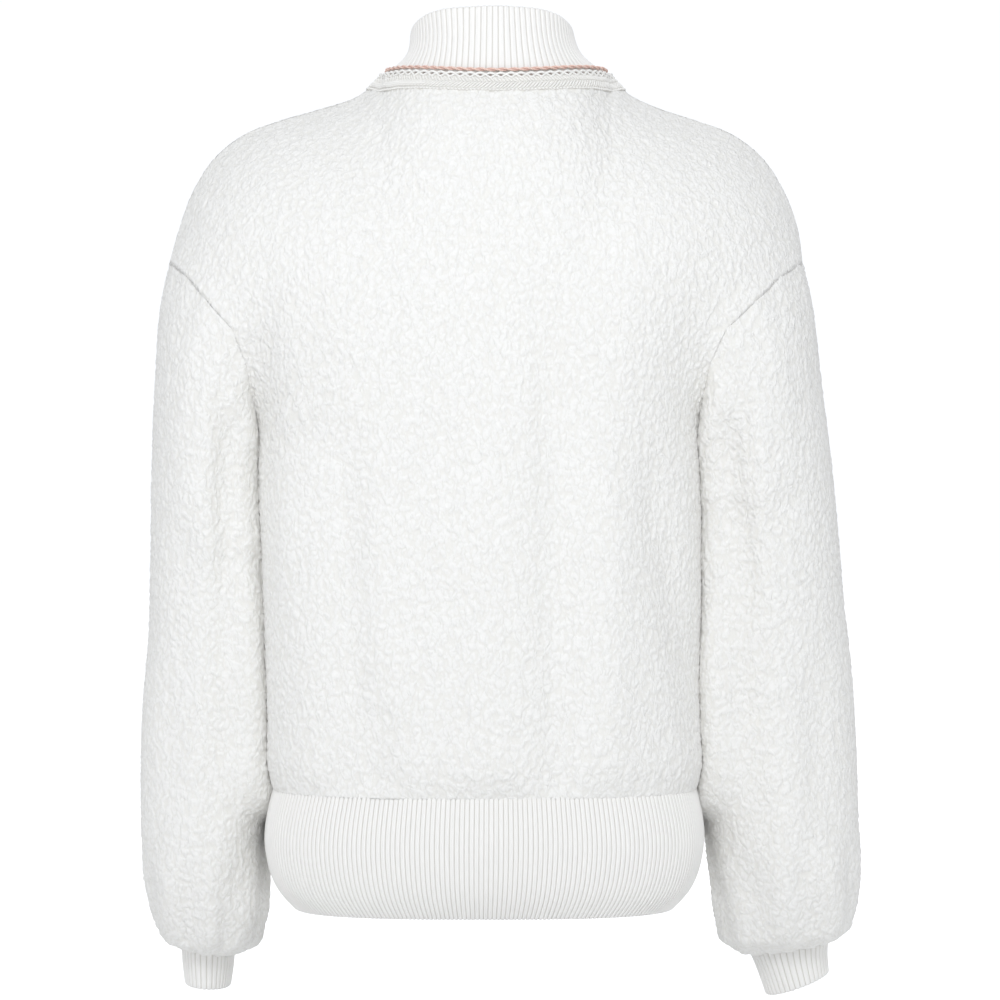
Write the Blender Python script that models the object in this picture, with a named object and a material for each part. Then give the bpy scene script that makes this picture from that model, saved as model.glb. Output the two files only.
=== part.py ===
"""Fleece jacket, filled out as if worn. Metres, +Z up, the front faces -Y, the wearer's left is +X.

The origin is the middle of the neck seam, where the wearer carries the jacket.

Every cloth piece is a thin wall. It starts as a grid of points in the middle of that wall, worked out
from sections (rows of the tables below). Neighbouring pieces share the points and the averaged
normals along their seam, so their edges meet, and each edge is drawn back by half the seam gap.
"""

import math
from collections import namedtuple

import bmesh
import bpy
import numpy as np
from mathutils import Vector
from mathutils.bvhtree import BVHTree

# ---------------------------------------------------------------------------------------------
# Cloth
# ---------------------------------------------------------------------------------------------
FLEECE_WALL = 0.0030
RIB_WALL = 0.0020
RIB_RELIEF = 0.0009
SEAM_GAP = 0.0003

HEM_RIBS = 248
COLLAR_RIBS = 100
CUFF_RIBS = 40
OUTER_PER_RIB = 2
RIBS_PER_INNER_POINT = 2

# ---------------------------------------------------------------------------------------------
# Grid of the body panels: columns from the centre line to the side, rows from hem to shoulder
# ---------------------------------------------------------------------------------------------
NECK_COLUMNS = 6
SHOULDER_COLUMNS = 8
HALF_COLUMNS = NECK_COLUMNS + SHOULDER_COLUMNS
YOKE_PARTS = (0.14, 0.28, 0.42, 0.56, 0.70, 0.83, 0.93)  # rows between underarm (0) and shoulder (1)
YOKE_ROWS = len(YOKE_PARTS) + 1
BODY_HEIGHTS = (-0.5365, -0.525, -0.490, -0.445, -0.400, -0.360, -0.322, -0.285)
UNDERARM = BODY_HEIGHTS[-1]
SIDE_SEAM_Y = -0.011
ZIP_EDGE = 0.0075  # each front ends this far from the centre line

# Sections of the body and of the hem rib: half width, and depth behind and before the side seam
Section = namedtuple("Section", "height half_width back front squareness")
SECTIONS = (
    Section(-0.6260, 0.1410, 0.0900, 0.0880, 2.8),
    Section(-0.6110, 0.1540, 0.0990, 0.0970, 2.8),
    Section(-0.5830, 0.1625, 0.1055, 0.1030, 2.8),
    Section(-0.5365, 0.1570, 0.1060, 0.1035, 2.7),
    Section(-0.5250, 0.1605, 0.1110, 0.1085, 2.7),
    Section(-0.4900, 0.1615, 0.1145, 0.1120, 2.7),
    Section(-0.4250, 0.1630, 0.1165, 0.1145, 2.7),
    Section(-0.3675, 0.1635, 0.1170, 0.1160, 2.7),
    Section(-0.3250, 0.1650, 0.1165, 0.1165, 2.7),
    Section(-0.2850, 0.1660, 0.1155, 0.1160, 2.7),
)
HEM_RIB_HEIGHTS = (-0.5365, -0.5830, -0.6110, -0.6260)

# The jacket hangs a little to the wearer's left
Lean = namedtuple("Lean", "height shift")
LEANS = (
    Lean(-0.660, 0.0090),
    Lean(-0.430, 0.0090),
    Lean(-0.370, 0.0105),
    Lean(-0.300, 0.0123),
    Lean(-0.240, 0.0135),
    Lean(-0.190, 0.0115),
    Lean(-0.145, 0.0075),
    Lean(-0.080, 0.0),
    Lean(0.060, 0.0),
)
SHOULDER_LEAN = 0.0055
SHOULDER_LEAN_FROM = 0.09
SHOULDER_LEAN_TO = 0.15

# Seam lines, one half each
Place = namedtuple("Place", "x y z")
NECK_POINT = Place(0.0810, -0.0120, -0.0020)
SHOULDER_POINT = Place(0.2370, -0.0120, -0.1440)
UNDERARM_POINT = Place(0.1660, SIDE_SEAM_Y, UNDERARM)
SHOULDER_LINE = (
    NECK_POINT,
    Place(0.1000, -0.0115, -0.0185),
    Place(0.1325, -0.0100, -0.0315),
    Place(0.1640, -0.0095, -0.0412),
    Place(0.1855, -0.0095, -0.0505),
    Place(0.2018, -0.0100, -0.0630),
    Place(0.2145, -0.0105, -0.0788),
    Place(0.2238, -0.0110, -0.0972),
    Place(0.2320, -0.0115, -0.1205),
    SHOULDER_POINT,
)
BACK_NECK = (
    Place(0.0000, 0.0550, -0.0090),
    Place(0.0220, 0.0530, -0.0085),
    Place(0.0450, 0.0450, -0.0065),
    Place(0.0650, 0.0280, -0.0035),
    Place(0.0770, 0.0080, -0.0020),
    NECK_POINT,
)
FRONT_NECK = (
    Place(ZIP_EDGE, -0.0855, -0.0750),
    Place(0.0300, -0.0800, -0.0690),
    Place(0.0520, -0.0660, -0.0520),
    Place(0.0690, -0.0470, -0.0310),
    Place(0.0785, -0.0290, -0.0120),
    NECK_POINT,
)
BACK_ARMHOLE = (
    UNDERARM_POINT,
    Place(0.1665, 0.0260, -0.2620),
    Place(0.1690, 0.0520, -0.2320),
    Place(0.1735, 0.0660, -0.2075),
    Place(0.1840, 0.0690, -0.1930),
    Place(0.1976, 0.0640, -0.1792),
    Place(0.2138, 0.0480, -0.1616),
    Place(0.2300, 0.0220, -0.1490),
    SHOULDER_POINT,
)
FRONT_ARMHOLE = (
    UNDERARM_POINT,
    Place(0.1675, -0.0420, -0.2740),
    Place(0.1690, -0.0680, -0.2520),
    Place(0.1730, -0.0860, -0.2270),
    Place(0.1830, -0.0910, -0.2040),
    Place(0.1980, -0.0860, -0.1850),
    Place(0.2160, -0.0690, -0.1650),
    Place(0.2310, -0.0420, -0.1500),
    SHOULDER_POINT,
)

# How far the cloth above the underarm stands out, from the centre line (0) to the armhole (1)
Fullness = namedtuple("Fullness", "position depth")
BACK_FULLNESS = (
    Fullness(0.00, 0.0240),
    Fullness(0.30, 0.0300),
    Fullness(0.50, 0.0390),
    Fullness(0.64, 0.0320),
    Fullness(0.78, 0.0175),
    Fullness(0.92, 0.0065),
    Fullness(1.00, 0.0),
)
FRONT_FULLNESS = (
    Fullness(0.00, -0.0150),
    Fullness(0.30, -0.0220),
    Fullness(0.50, -0.0320),
    Fullness(0.64, -0.0270),
    Fullness(0.78, -0.0150),
    Fullness(0.92, -0.0060),
    Fullness(1.00, 0.0),
)
SIDE_REACH = 1.2  # power with which the armhole's shape fades towards the centre line
BEND_FADE = 2.0  # power with which the underarm's and the shoulder's shapes fade between them
RELAX_FROM = -0.40  # the easing of the cloth grows from this height to the underarm
RELAX_PART = 0.5
RELAX_ROUNDS = 2

# Hanging folds of the body panels: a trough has a depth over zero, a ridge under zero
Fold = namedtuple("Fold", "top_x top_z bottom_x bottom_z width depth")
BACK_FOLDS = (
    Fold(0.104, -0.250, 0.106, -0.560, 0.013, 0.0045),
    Fold(0.082, -0.450, 0.084, -0.570, 0.009, 0.0035),
    Fold(-0.046, -0.135, -0.046, -0.570, 0.014, 0.0045),
    Fold(-0.112, -0.280, -0.150, -0.500, 0.013, 0.0050),
    Fold(0.150, -0.130, 0.150, -0.420, 0.014, -0.0030),
    Fold(-0.006, -0.200, -0.004, -0.560, 0.022, -0.0025),
    Fold(-0.088, -0.180, -0.086, -0.540, 0.016, -0.0030),
)
FRONT_LEFT_FOLDS = (
    Fold(0.060, -0.180, 0.070, -0.560, 0.015, 0.0040),
    Fold(0.118, -0.260, 0.108, -0.550, 0.013, 0.0045),
    Fold(0.090, -0.160, 0.092, -0.520, 0.016, -0.0025),
)
FRONT_RIGHT_FOLDS = (
    Fold(-0.050, -0.220, -0.056, -0.560, 0.014, 0.0035),
    Fold(-0.104, -0.190, -0.112, -0.540, 0.015, 0.0050),
    Fold(-0.080, -0.200, -0.082, -0.500, 0.015, -0.0025),
)

# ---------------------------------------------------------------------------------------------
# Sleeves and cuffs: each ring runs from its outer point round the back to its inner point
# ---------------------------------------------------------------------------------------------
SLEEVE_COLUMNS = 4 * YOKE_ROWS
Ring = namedtuple("Ring", "outer_x outer_z inner_x inner_z centre_y half_depth")
LEFT_SLEEVE = (
    Ring(0.2503, -0.1716, 0.1860, -0.3090, -0.0140, 0.0770),
    Ring(0.2554, -0.2318, 0.1840, -0.3400, -0.0180, 0.0750),
    Ring(0.2582, -0.2998, 0.1760, -0.3780, -0.0220, 0.0720),
    Ring(0.2596, -0.3680, 0.1680, -0.4200, -0.0260, 0.0690),
    Ring(0.2613, -0.4212, 0.1660, -0.4600, -0.0300, 0.0690),
    Ring(0.2652, -0.4741, 0.1660, -0.5000, -0.0360, 0.0715),
    Ring(0.2676, -0.5335, 0.1680, -0.5400, -0.0430, 0.0745),
    Ring(0.2681, -0.5847, 0.1745, -0.5800, -0.0480, 0.0755),
    Ring(0.2641, -0.6150, 0.1765, -0.6090, -0.0520, 0.0730),
    Ring(0.2580, -0.6370, 0.1800, -0.6340, -0.0560, 0.0650),
    Ring(0.2500, -0.6510, 0.1880, -0.6560, -0.0580, 0.0500),
    Ring(0.2405, -0.6530, 0.2015, -0.6600, -0.0600, 0.0345),
)
RIGHT_SLEEVE = (
    Ring(-0.2342, -0.1625, -0.1600, -0.3090, -0.0130, 0.0770),
    Ring(-0.2437, -0.2319, -0.1580, -0.3400, -0.0180, 0.0740),
    Ring(-0.2512, -0.2897, -0.1510, -0.3780, -0.0220, 0.0700),
    Ring(-0.2575, -0.3503, -0.1460, -0.4200, -0.0260, 0.0660),
    Ring(-0.2616, -0.3959, -0.1450, -0.4600, -0.0300, 0.0650),
    Ring(-0.2684, -0.4518, -0.1450, -0.5000, -0.0360, 0.0660),
    Ring(-0.2731, -0.5254, -0.1470, -0.5350, -0.0430, 0.0690),
    Ring(-0.2749, -0.5671, -0.1580, -0.5668, -0.0470, 0.0700),
    Ring(-0.2746, -0.6028, -0.1660, -0.6050, -0.0520, 0.0680),
    Ring(-0.2705, -0.6310, -0.1715, -0.6280, -0.0560, 0.0600),
    Ring(-0.2640, -0.6460, -0.1790, -0.6540, -0.0580, 0.0460),
    Ring(-0.2560, -0.6490, -0.1914, -0.6600, -0.0600, 0.0320),
)
LEFT_CUFF = (
    Ring(0.2392, -0.6740, 0.2035, -0.6800, -0.0615, 0.0330),
    Ring(0.2373, -0.6915, 0.2056, -0.6940, -0.0625, 0.0315),
)
RIGHT_CUFF = (
    Ring(-0.2530, -0.6650, -0.1984, -0.6735, -0.0615, 0.0305),
    Ring(-0.2540, -0.6835, -0.2086, -0.7005, -0.0630, 0.0290),
)
ARMHOLE_CENTRE_Y = -0.0115
ARMHOLE_HALF_DEPTH = 0.078
ARMHOLE_FADE = (0.55, 0.22, 0.06)  # how much of the armhole's own shape the next rings keep
SLEEVE_CLEARANCE = 0.0060  # from the middle of the body's wall to the middle of the sleeve's
CLEARANCE_ROUNDING = 0.0050
CUFF_GATHERS = 8
GATHER_DEPTHS = (0.0, 0.0012, 0.0024, 0.0022)  # on the last rings before the cuff

# Folds of the sleeves, by the angle round the arm: 0 outside, 90 behind, 180 at the body
SleeveFold = namedtuple("SleeveFold", "angle top_z bottom_z width depth")
LEFT_SLEEVE_FOLDS = (
    SleeveFold(118, -0.230, -0.420, 16, 0.0045),
    SleeveFold(70, -0.330, -0.560, 18, 0.0035),
    SleeveFold(250, -0.280, -0.520, 20, 0.0040),
    SleeveFold(30, -0.420, -0.600, 20, -0.0025),
)
RIGHT_SLEEVE_FOLDS = (
    SleeveFold(128, -0.240, -0.450, 16, 0.0055),
    SleeveFold(96, -0.300, -0.520, 15, -0.0035),
    SleeveFold(58, -0.420, -0.600, 18, 0.0035),
    SleeveFold(255, -0.300, -0.560, 20, 0.0045),
)

# ---------------------------------------------------------------------------------------------
# Collar, neck tape and neck cord
# ---------------------------------------------------------------------------------------------
COLLAR_TOP = (
    Place(ZIP_EDGE, -0.0845, -0.0220),
    Place(0.0270, -0.0795, -0.0175),
    Place(0.0440, -0.0655, -0.0050),
    Place(0.0550, -0.0430, 0.0130),
    Place(0.0600, -0.0140, 0.0275),
    Place(0.0520, 0.0180, 0.0350),
    Place(0.0340, 0.0380, 0.0390),
    Place(0.0000, 0.0470, 0.0400),
)
COLLAR_TOP_SHIFT = 0.0030
COLLAR_WAIST = 0.0065
COLLAR_MIDDLE = 0.5
NECK_AXIS_Y = -0.015

TAPE_WIDTH = 0.0190
TAPE_START = 0.0032
TAPE_THICKNESS = 0.0013
TAPE_LIFT = 0.0014
TAPE_SEGMENTS = (24, 36, 24)  # front, back, front
TAPE_STEPS = 8

CORD_RADIUS = 0.0013
CORD_LIFT = 0.0043
CORD_POINTS = 64

# ---------------------------------------------------------------------------------------------
# Zip
# ---------------------------------------------------------------------------------------------
TEETH_GAP = 0.00015
TEETH_HALF_WIDTH = 0.0026
TEETH_FACE = -0.0004
ZIP_TAPE_REACH = 0.0155
ZIP_TAPE_FACE = -0.0021
ZIP_TAPE_BACK = -0.0030
BOX_SIZE = (0.0090, 0.0046, 0.0080)
SLIDER_PLATE = (0.0090, 0.0016, 0.0110)
SLIDER_BELOW_TOP = 0.0120
SLIDER_GAP = 0.0006
POST_SPAN = 0.0056
POST_SIZE = 0.0010
BAR_OUT = 0.0036
BAR_RADIUS = 0.0007
EYE_RADIUS = 0.0022
EYE_HOLE = 0.0011
EYE_WIDTH = 0.0030
PULL_THICKNESS = 0.0014
PULL_WIDTH = 0.0060
PULL_LENGTH = 0.0260
PULL_HOLE = 0.0015
PULL_BEVEL = 0.0006

# name: colour, roughness, metallic
FINISHES = {
    "fleece": ((0.86, 0.82, 0.75), 0.95, 0.0),
    "rib": ((0.84, 0.80, 0.72), 0.90, 0.0),
    "tape": ((0.90, 0.88, 0.83), 0.90, 0.0),
    "cord": ((0.73, 0.38, 0.28), 0.70, 0.0),
    "zip_tape": ((0.84, 0.81, 0.75), 0.85, 0.0),
    "metal": ((0.72, 0.70, 0.66), 0.35, 1.0),
}

SIDES = {"left": 1, "right": -1}


# ---------------------------------------------------------------------------------------------
# Curves and tables
# ---------------------------------------------------------------------------------------------
def unit(vectors):
    """The vectors at length 1, along the last axis."""
    lengths = np.linalg.norm(vectors, axis=-1, keepdims=True)
    return vectors / np.maximum(lengths, 1e-12)


def smooth_step(values, start, end):
    """0 before start, 1 after end, and a soft S between them."""
    t = np.clip((values - start) / (end - start), 0.0, 1.0)
    return t * t * (3.0 - 2.0 * t)


def read_table(table, key, column, at):
    """A column of a table as a smooth curve over its key column, which rises."""
    keys = np.array([getattr(row, key) for row in table])
    values = np.array([getattr(row, column) for row in table])
    slopes = np.gradient(values, keys)
    at = np.clip(at, keys[0], keys[-1])
    span = np.clip(np.searchsorted(keys, at) - 1, 0, len(keys) - 2)
    width = keys[span + 1] - keys[span]
    t = (at - keys[span]) / width
    start = values[span] * (2 * t**3 - 3 * t**2 + 1) + slopes[span] * width * (t**3 - 2 * t**2 + t)
    end = values[span + 1] * (3 * t**2 - 2 * t**3) + slopes[span + 1] * width * (t**3 - t**2)
    return start + end


def curve_at(points, at):
    """Points of a smooth curve (Catmull-Rom) through a row of points, at fractional indices."""
    points = np.asarray(points, float)
    last = len(points) - 1
    before = np.vstack([2 * points[0] - points[1], points, 2 * points[-1] - points[-2]])
    span = np.clip(np.floor(at).astype(int), 0, last - 1)
    t = (np.asarray(at) - span)[:, None]
    a, b, c, d = (before[span + k] for k in range(4))
    return 0.5 * (2 * b + (c - a) * t + (2 * a - 5 * b + 4 * c - d) * t**2 + (3 * b - a - 3 * c + d) * t**3)


def even_places(points, count):
    """Fractional indices that part a row of points into equal lengths."""
    lengths = np.linalg.norm(np.diff(points, axis=0), axis=1)
    along = np.concatenate([[0.0], np.cumsum(lengths)])
    return np.interp(np.linspace(0.0, along[-1], count + 1), along, np.arange(len(points)))


def even_curve(table, count):
    """A smooth curve through a table of places, as count + 1 evenly spaced points."""
    fine = curve_at(np.array(table, float), np.linspace(0, len(table) - 1, 12 * len(table)))
    places = even_places(fine, count)
    return curve_at(fine, places)


def lean(points):
    """The points with the jacket's lean to the wearer's left added."""
    body = read_table(LEANS, "height", "shift", points[..., 2])
    shoulder = SHOULDER_LEAN * smooth_step(np.abs(points[..., 0]), SHOULDER_LEAN_FROM, SHOULDER_LEAN_TO)
    shoulder = shoulder * (points[..., 2] > UNDERARM)
    leaned = points.copy()
    leaned[..., 0] += np.maximum(body, shoulder)
    return leaned


# ---------------------------------------------------------------------------------------------
# Grids of wall middles
# ---------------------------------------------------------------------------------------------
class Grid:
    """A cloth piece as points in the middle of its wall: rows by columns, maybe closed round."""

    def __init__(self, name, middle, closed=False):
        self.name = name
        self.middle = middle
        self.closed = closed
        self.normals = self.own_normals()

    def own_normals(self):
        """Normals that point out of the garment, from each point's neighbours."""
        middle = self.middle
        along_rows = np.gradient(middle, axis=0)
        if self.closed:
            along_columns = np.roll(middle, -1, axis=1) - np.roll(middle, 1, axis=1)
        else:
            along_columns = np.gradient(middle, axis=1)
        return unit(np.cross(along_columns, along_rows))

    def shared_keys(self):
        return np.round(self.middle * 1e6).astype(int)


def mean_normals(grids):
    """The mean normal at every point of the grids, by the point's key."""
    sums = {}
    for grid in grids:
        for key, normal in zip(grid.shared_keys().reshape(-1, 3), grid.normals.reshape(-1, 3)):
            sums[tuple(key)] = sums.get(tuple(key), 0) + normal
    return {key: unit(total) for key, total in sums.items()}


def share_normals(body_grids, sleeve_grids):
    """Gives points that lie in more than one grid one normal. The body and a sleeve count alike."""
    body, arms = mean_normals(body_grids), mean_normals(sleeve_grids)
    nothing = np.zeros(3)
    for grid in (*body_grids, *sleeve_grids):
        keys = [tuple(key) for key in grid.shared_keys().reshape(-1, 3)]
        summed = np.array([body.get(key, nothing) + arms.get(key, nothing) for key in keys])
        grid.normals = unit(summed).reshape(grid.normals.shape)


def even_armhole_normals(sleeve_grid, first):
    """The points between the panels' own points on an armhole take the mean of the next two."""
    seam = sleeve_grid.normals[0]
    mean = (np.roll(seam, 1, axis=0) + np.roll(seam, -1, axis=0)) / 2
    seam[first::2] = mean[first::2]


def border_shift(line, normals, inward, closed):
    """What moves a seam line half a seam gap into its own piece, square to the seam."""
    segments = unit(np.roll(line, -1, axis=0) - line)
    if not closed:
        segments[-1] = segments[-2]
    before = np.roll(segments, 1, axis=0)
    if not closed:
        before[0] = segments[0]
    square_before = unit(np.cross(normals, before))
    square_after = unit(np.cross(normals, segments))
    sign = np.sign(np.sum((square_before + square_after) * inward))
    mitre = 1.0 + np.sum(square_before * square_after, axis=1, keepdims=True)
    return sign * 0.5 * SEAM_GAP * (square_before + square_after) / np.maximum(mitre, 0.5)


def draw_back(grid):
    """Draws every seam edge of a grid back by half the seam gap."""
    middle = grid.middle
    moved = middle.copy()
    for edge, inner in ((0, 1), (-1, -2)):
        inward = middle[inner] - middle[edge]
        moved[edge] += border_shift(middle[edge], grid.normals[edge], inward, grid.closed)
    if not grid.closed:
        for edge, inner in ((0, 1), (-1, -2)):
            inward = middle[:, inner] - middle[:, edge]
            moved[:, edge] += border_shift(middle[:, edge], grid.normals[:, edge], inward, False)
    grid.middle = moved


# ---------------------------------------------------------------------------------------------
# Body panels
# ---------------------------------------------------------------------------------------------
def body_section(height, angles):
    """A level section of the body, at angles from the back centre (0) round to the front (pi)."""
    size = {name: read_table(SECTIONS, "height", name, height) for name in Section._fields[1:]}
    across = np.sin(angles)
    behind = np.cos(angles)
    power = size["squareness"]
    reach = (np.abs(across) ** power + np.abs(behind) ** power) ** (-1.0 / power)
    depth = np.where(behind > 0, size["back"], size["front"])
    x = size["half_width"] * reach * across
    y = SIDE_SEAM_Y + depth * reach * behind
    return np.stack([x, y, np.full_like(x, height)], axis=-1)


def half_angles(height, front):
    """The section angles of one half's columns, from the centre line to the side seam."""
    if not front:
        return np.linspace(0.0, math.pi / 2, HALF_COLUMNS + 1)
    half_width = read_table(SECTIONS, "height", "half_width", height)
    zip_angle = math.asin(ZIP_EDGE / half_width)
    return math.pi - np.linspace(zip_angle, math.pi / 2, HALF_COLUMNS + 1)


def straightened(row):
    """As many points, evenly along the straight line between a row's ends."""
    return np.linspace(row[0], row[-1], len(row))


def half_panel(front):
    """The points of one half of the back, or of one front, on the +X side before the lean."""
    neck, armhole, fullness = (
        (FRONT_NECK, FRONT_ARMHOLE, FRONT_FULLNESS)
        if front
        else (BACK_NECK, BACK_ARMHOLE, BACK_FULLNESS)
    )
    body = [body_section(height, half_angles(height, front)) for height in BODY_HEIGHTS]
    top = np.vstack([even_curve(neck, NECK_COLUMNS), even_curve(SHOULDER_LINE, SHOULDER_COLUMNS)[1:]])
    side = even_curve(armhole, YOKE_ROWS)
    side[0] = body[-1][-1]
    across = np.linspace(0.0, 1.0, HALF_COLUMNS + 1)
    standing = read_table(fullness, "position", "depth", across)
    low, high = straightened(body[-1]), straightened(top)
    rows = []
    for up, side_point in zip(YOKE_PARTS, side[1:]):
        straight = (1 - up) * low + up * high
        bend = (1 - up) ** BEND_FADE * (body[-1] - low) + up**BEND_FADE * (top - high)
        side_bend = across[:, None] ** SIDE_REACH * (side_point - straight[-1])
        points = straight + bend + side_bend
        points[:, 1] += standing * math.sin(math.pi * up**1.5) ** 0.6
        rows.append(points)
    return np.array(body + rows + [top])


def folded(panel, folds):
    """A panel's points with its hanging folds pressed in. The outer rows and columns stay."""
    grid = Grid("folding", panel)
    press = np.zeros(panel.shape[:2])
    for fold in folds:
        x, z = panel[..., 0], panel[..., 2]
        drop = (fold.top_z - z) / (fold.top_z - fold.bottom_z)
        centre = fold.top_x + (fold.bottom_x - fold.top_x) * drop
        ends = smooth_step(drop, 0.0, 0.3) * smooth_step(drop, 1.0, 0.85)
        press += fold.depth * np.exp(-(((x - centre) / fold.width) ** 2)) * ends
    press[0] = press[-1] = 0.0
    press[:, 0] = press[:, -1] = 0.0
    return panel - grid.normals * press[..., None]


def relaxed(panel, rounds):
    """A panel's points above its first rows eased towards their neighbours. Its edges stay."""
    eased = panel.copy()
    for _ in range(rounds):
        mean = (eased[:-2, 1:-1] + eased[2:, 1:-1] + eased[1:-1, :-2] + eased[1:-1, 2:]) / 4
        part = smooth_step(eased[1:-1, 1:-1, 2:], RELAX_FROM, UNDERARM)
        eased[1:-1, 1:-1] += RELAX_PART * part * (mean - eased[1:-1, 1:-1])
    return eased


def mirrored(points):
    """The points of the other side, columns running the other way."""
    return points[:, ::-1] * np.array([-1.0, 1.0, 1.0])


def body_panels():
    """The back and the two fronts. Columns run so that the normals point outwards."""
    back_half = half_panel(front=False)
    front_half = half_panel(front=True)
    back = np.concatenate([back_half[:, ::-1], mirrored(back_half)[:, ::-1][:, 1:]], axis=1)
    back = lean(relaxed(back, RELAX_ROUNDS))
    front_half = relaxed(front_half, RELAX_ROUNDS)
    front_left = lean(front_half)
    front_right = lean(mirrored(front_half))
    return {
        "back": Grid("back", folded(back, BACK_FOLDS)),
        "front_left": Grid("front_left", folded(front_left, FRONT_LEFT_FOLDS)),
        "front_right": Grid("front_right", folded(front_right, FRONT_RIGHT_FOLDS)),
    }


# ---------------------------------------------------------------------------------------------
# Sleeves and cuffs
# ---------------------------------------------------------------------------------------------
def ring_points(ring, angles):
    """A leaning ellipse through the ring's outer and inner points."""
    outer = np.array([ring.outer_x, ring.centre_y, ring.outer_z])
    inner = np.array([ring.inner_x, ring.centre_y, ring.inner_z])
    centre = (outer + inner) / 2
    towards_outer = np.cos(angles)[:, None] * (outer - inner) / 2
    return centre + towards_outer + np.sin(angles)[:, None] * np.array([0.0, ring.half_depth, 0.0])


def clear_of_body(points, side, clearance):
    """Sleeve points pushed outwards until they stand clear of the body's wall."""
    height = np.minimum(points[:, 2], UNDERARM)
    half_width = read_table(SECTIONS, "height", "half_width", height) + clearance
    power = read_table(SECTIONS, "height", "squareness", height)
    behind = read_table(SECTIONS, "height", "back", height)
    before = read_table(SECTIONS, "height", "front", height)
    from_seam = points[:, 1] - SIDE_SEAM_Y
    depth = np.where(from_seam > 0, behind, before) + clearance
    inside = np.clip(1.0 - (np.abs(from_seam) / depth) ** power, 0.0, 1.0)
    limit = half_width * inside ** (1.0 / power)
    centre = read_table(LEANS, "height", "shift", height)
    out = side * (points[:, 0] - centre)
    gap = out - limit
    kept = 0.5 * (out + limit + np.sqrt(gap**2 + CLEARANCE_ROUNDING**2))
    low = smooth_step(points[:, 2], UNDERARM + 0.02, UNDERARM - 0.01)
    pushed = points.copy()
    pushed[:, 0] = centre + side * (out + (kept - out) * low)
    return pushed


def armhole_loop(front, back, side):
    """The armhole's points, with one more in each span, from the shoulder round the back."""
    column = 0 if side > 0 else -1
    behind = back.middle[len(BODY_HEIGHTS) - 1 :, column]
    before = front.middle[len(BODY_HEIGHTS) - 1 :, 0 if side < 0 else -1]
    loop = np.vstack([behind[::-1], before[1:-1]])
    between = (loop + np.roll(loop, -1, axis=0)) / 2
    return np.stack([loop, between], axis=1).reshape(-1, 3)


def sleeve(side_name, front, back):
    """A sleeve from its armhole to its cuff."""
    side = SIDES[side_name]
    rings = LEFT_SLEEVE if side > 0 else RIGHT_SLEEVE
    folds = LEFT_SLEEVE_FOLDS if side > 0 else RIGHT_SLEEVE_FOLDS
    loop = armhole_loop(front, back, side)
    angles = np.linspace(0.0, 2 * math.pi, SLEEVE_COLUMNS, endpoint=False)
    shoulder, underarm = loop[0], loop[SLEEVE_COLUMNS // 2]
    level = Ring(
        shoulder[0], shoulder[2], underarm[0], underarm[2], ARMHOLE_CENTRE_Y, ARMHOLE_HALF_DEPTH
    )
    own_shape = loop - ring_points(level, angles)
    degrees = np.degrees(angles)
    rows = [loop]
    for number, ring in enumerate(rings):
        points = ring_points(ring, angles)
        centre = points.mean(axis=0)
        if number < len(ARMHOLE_FADE):
            points = points + ARMHOLE_FADE[number] * own_shape
        out = unit(points - centre)
        press = np.zeros(SLEEVE_COLUMNS)
        for fold in folds:
            drop = (fold.top_z - points[:, 2]) / (fold.top_z - fold.bottom_z)
            ends = smooth_step(drop, 0.0, 0.3) * smooth_step(drop, 1.0, 0.7)
            press += fold.depth * np.exp(-(((degrees - fold.angle) / fold.width) ** 2)) * ends
        from_cuff = len(rings) - 1 - number
        if from_cuff < len(GATHER_DEPTHS):
            press += GATHER_DEPTHS[from_cuff] * np.cos(CUFF_GATHERS * angles + number)
        points = points - out * press[:, None]
        clearance = SLEEVE_CLEARANCE * min(1.0, 0.45 + 0.3 * number)
        rows.append(clear_of_body(points, side, clearance))
    middle = np.array(rows)
    if side > 0:
        middle = middle[:, ::-1]
    return Grid("sleeve_" + side_name, np.array(middle), closed=True)


def cuff(side_name, sleeve_grid):
    """A cuff from the sleeve's last ring to its open edge."""
    side = SIDES[side_name]
    rings = LEFT_CUFF if side > 0 else RIGHT_CUFF
    angles = np.linspace(0.0, 2 * math.pi, SLEEVE_COLUMNS, endpoint=False)
    rows = [sleeve_grid.middle[-1]]
    for ring in rings:
        points = ring_points(ring, angles)
        rows.append(points[::-1] if side > 0 else points)
    return Grid("cuff_" + side_name, np.array(rows), closed=True)


# ---------------------------------------------------------------------------------------------
# Hem rib and collar: C-shaped rings that are open at the zip
# ---------------------------------------------------------------------------------------------
def round_the_body(panels, row):
    """A row of points from the left front's zip edge round the back to the right front's."""
    return [panels[name].middle[row] for name in ("front_left", "back", "front_right")]


def hem_rib(panels):
    left, back, right = round_the_body(panels, 0)
    rows = [np.vstack([left, back[1:-1], right])]
    for height in HEM_RIB_HEIGHTS[1:]:
        front = body_section(height, half_angles(height, front=True))
        behind = body_section(height, half_angles(height, front=False))[::-1]
        half = np.vstack([front, behind[1:]])
        other = half[::-1][1:] * np.array([-1.0, 1.0, 1.0])
        rows.append(lean(np.vstack([half, other])))
    return Grid("hem_rib", np.array(rows)[::-1])


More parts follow.
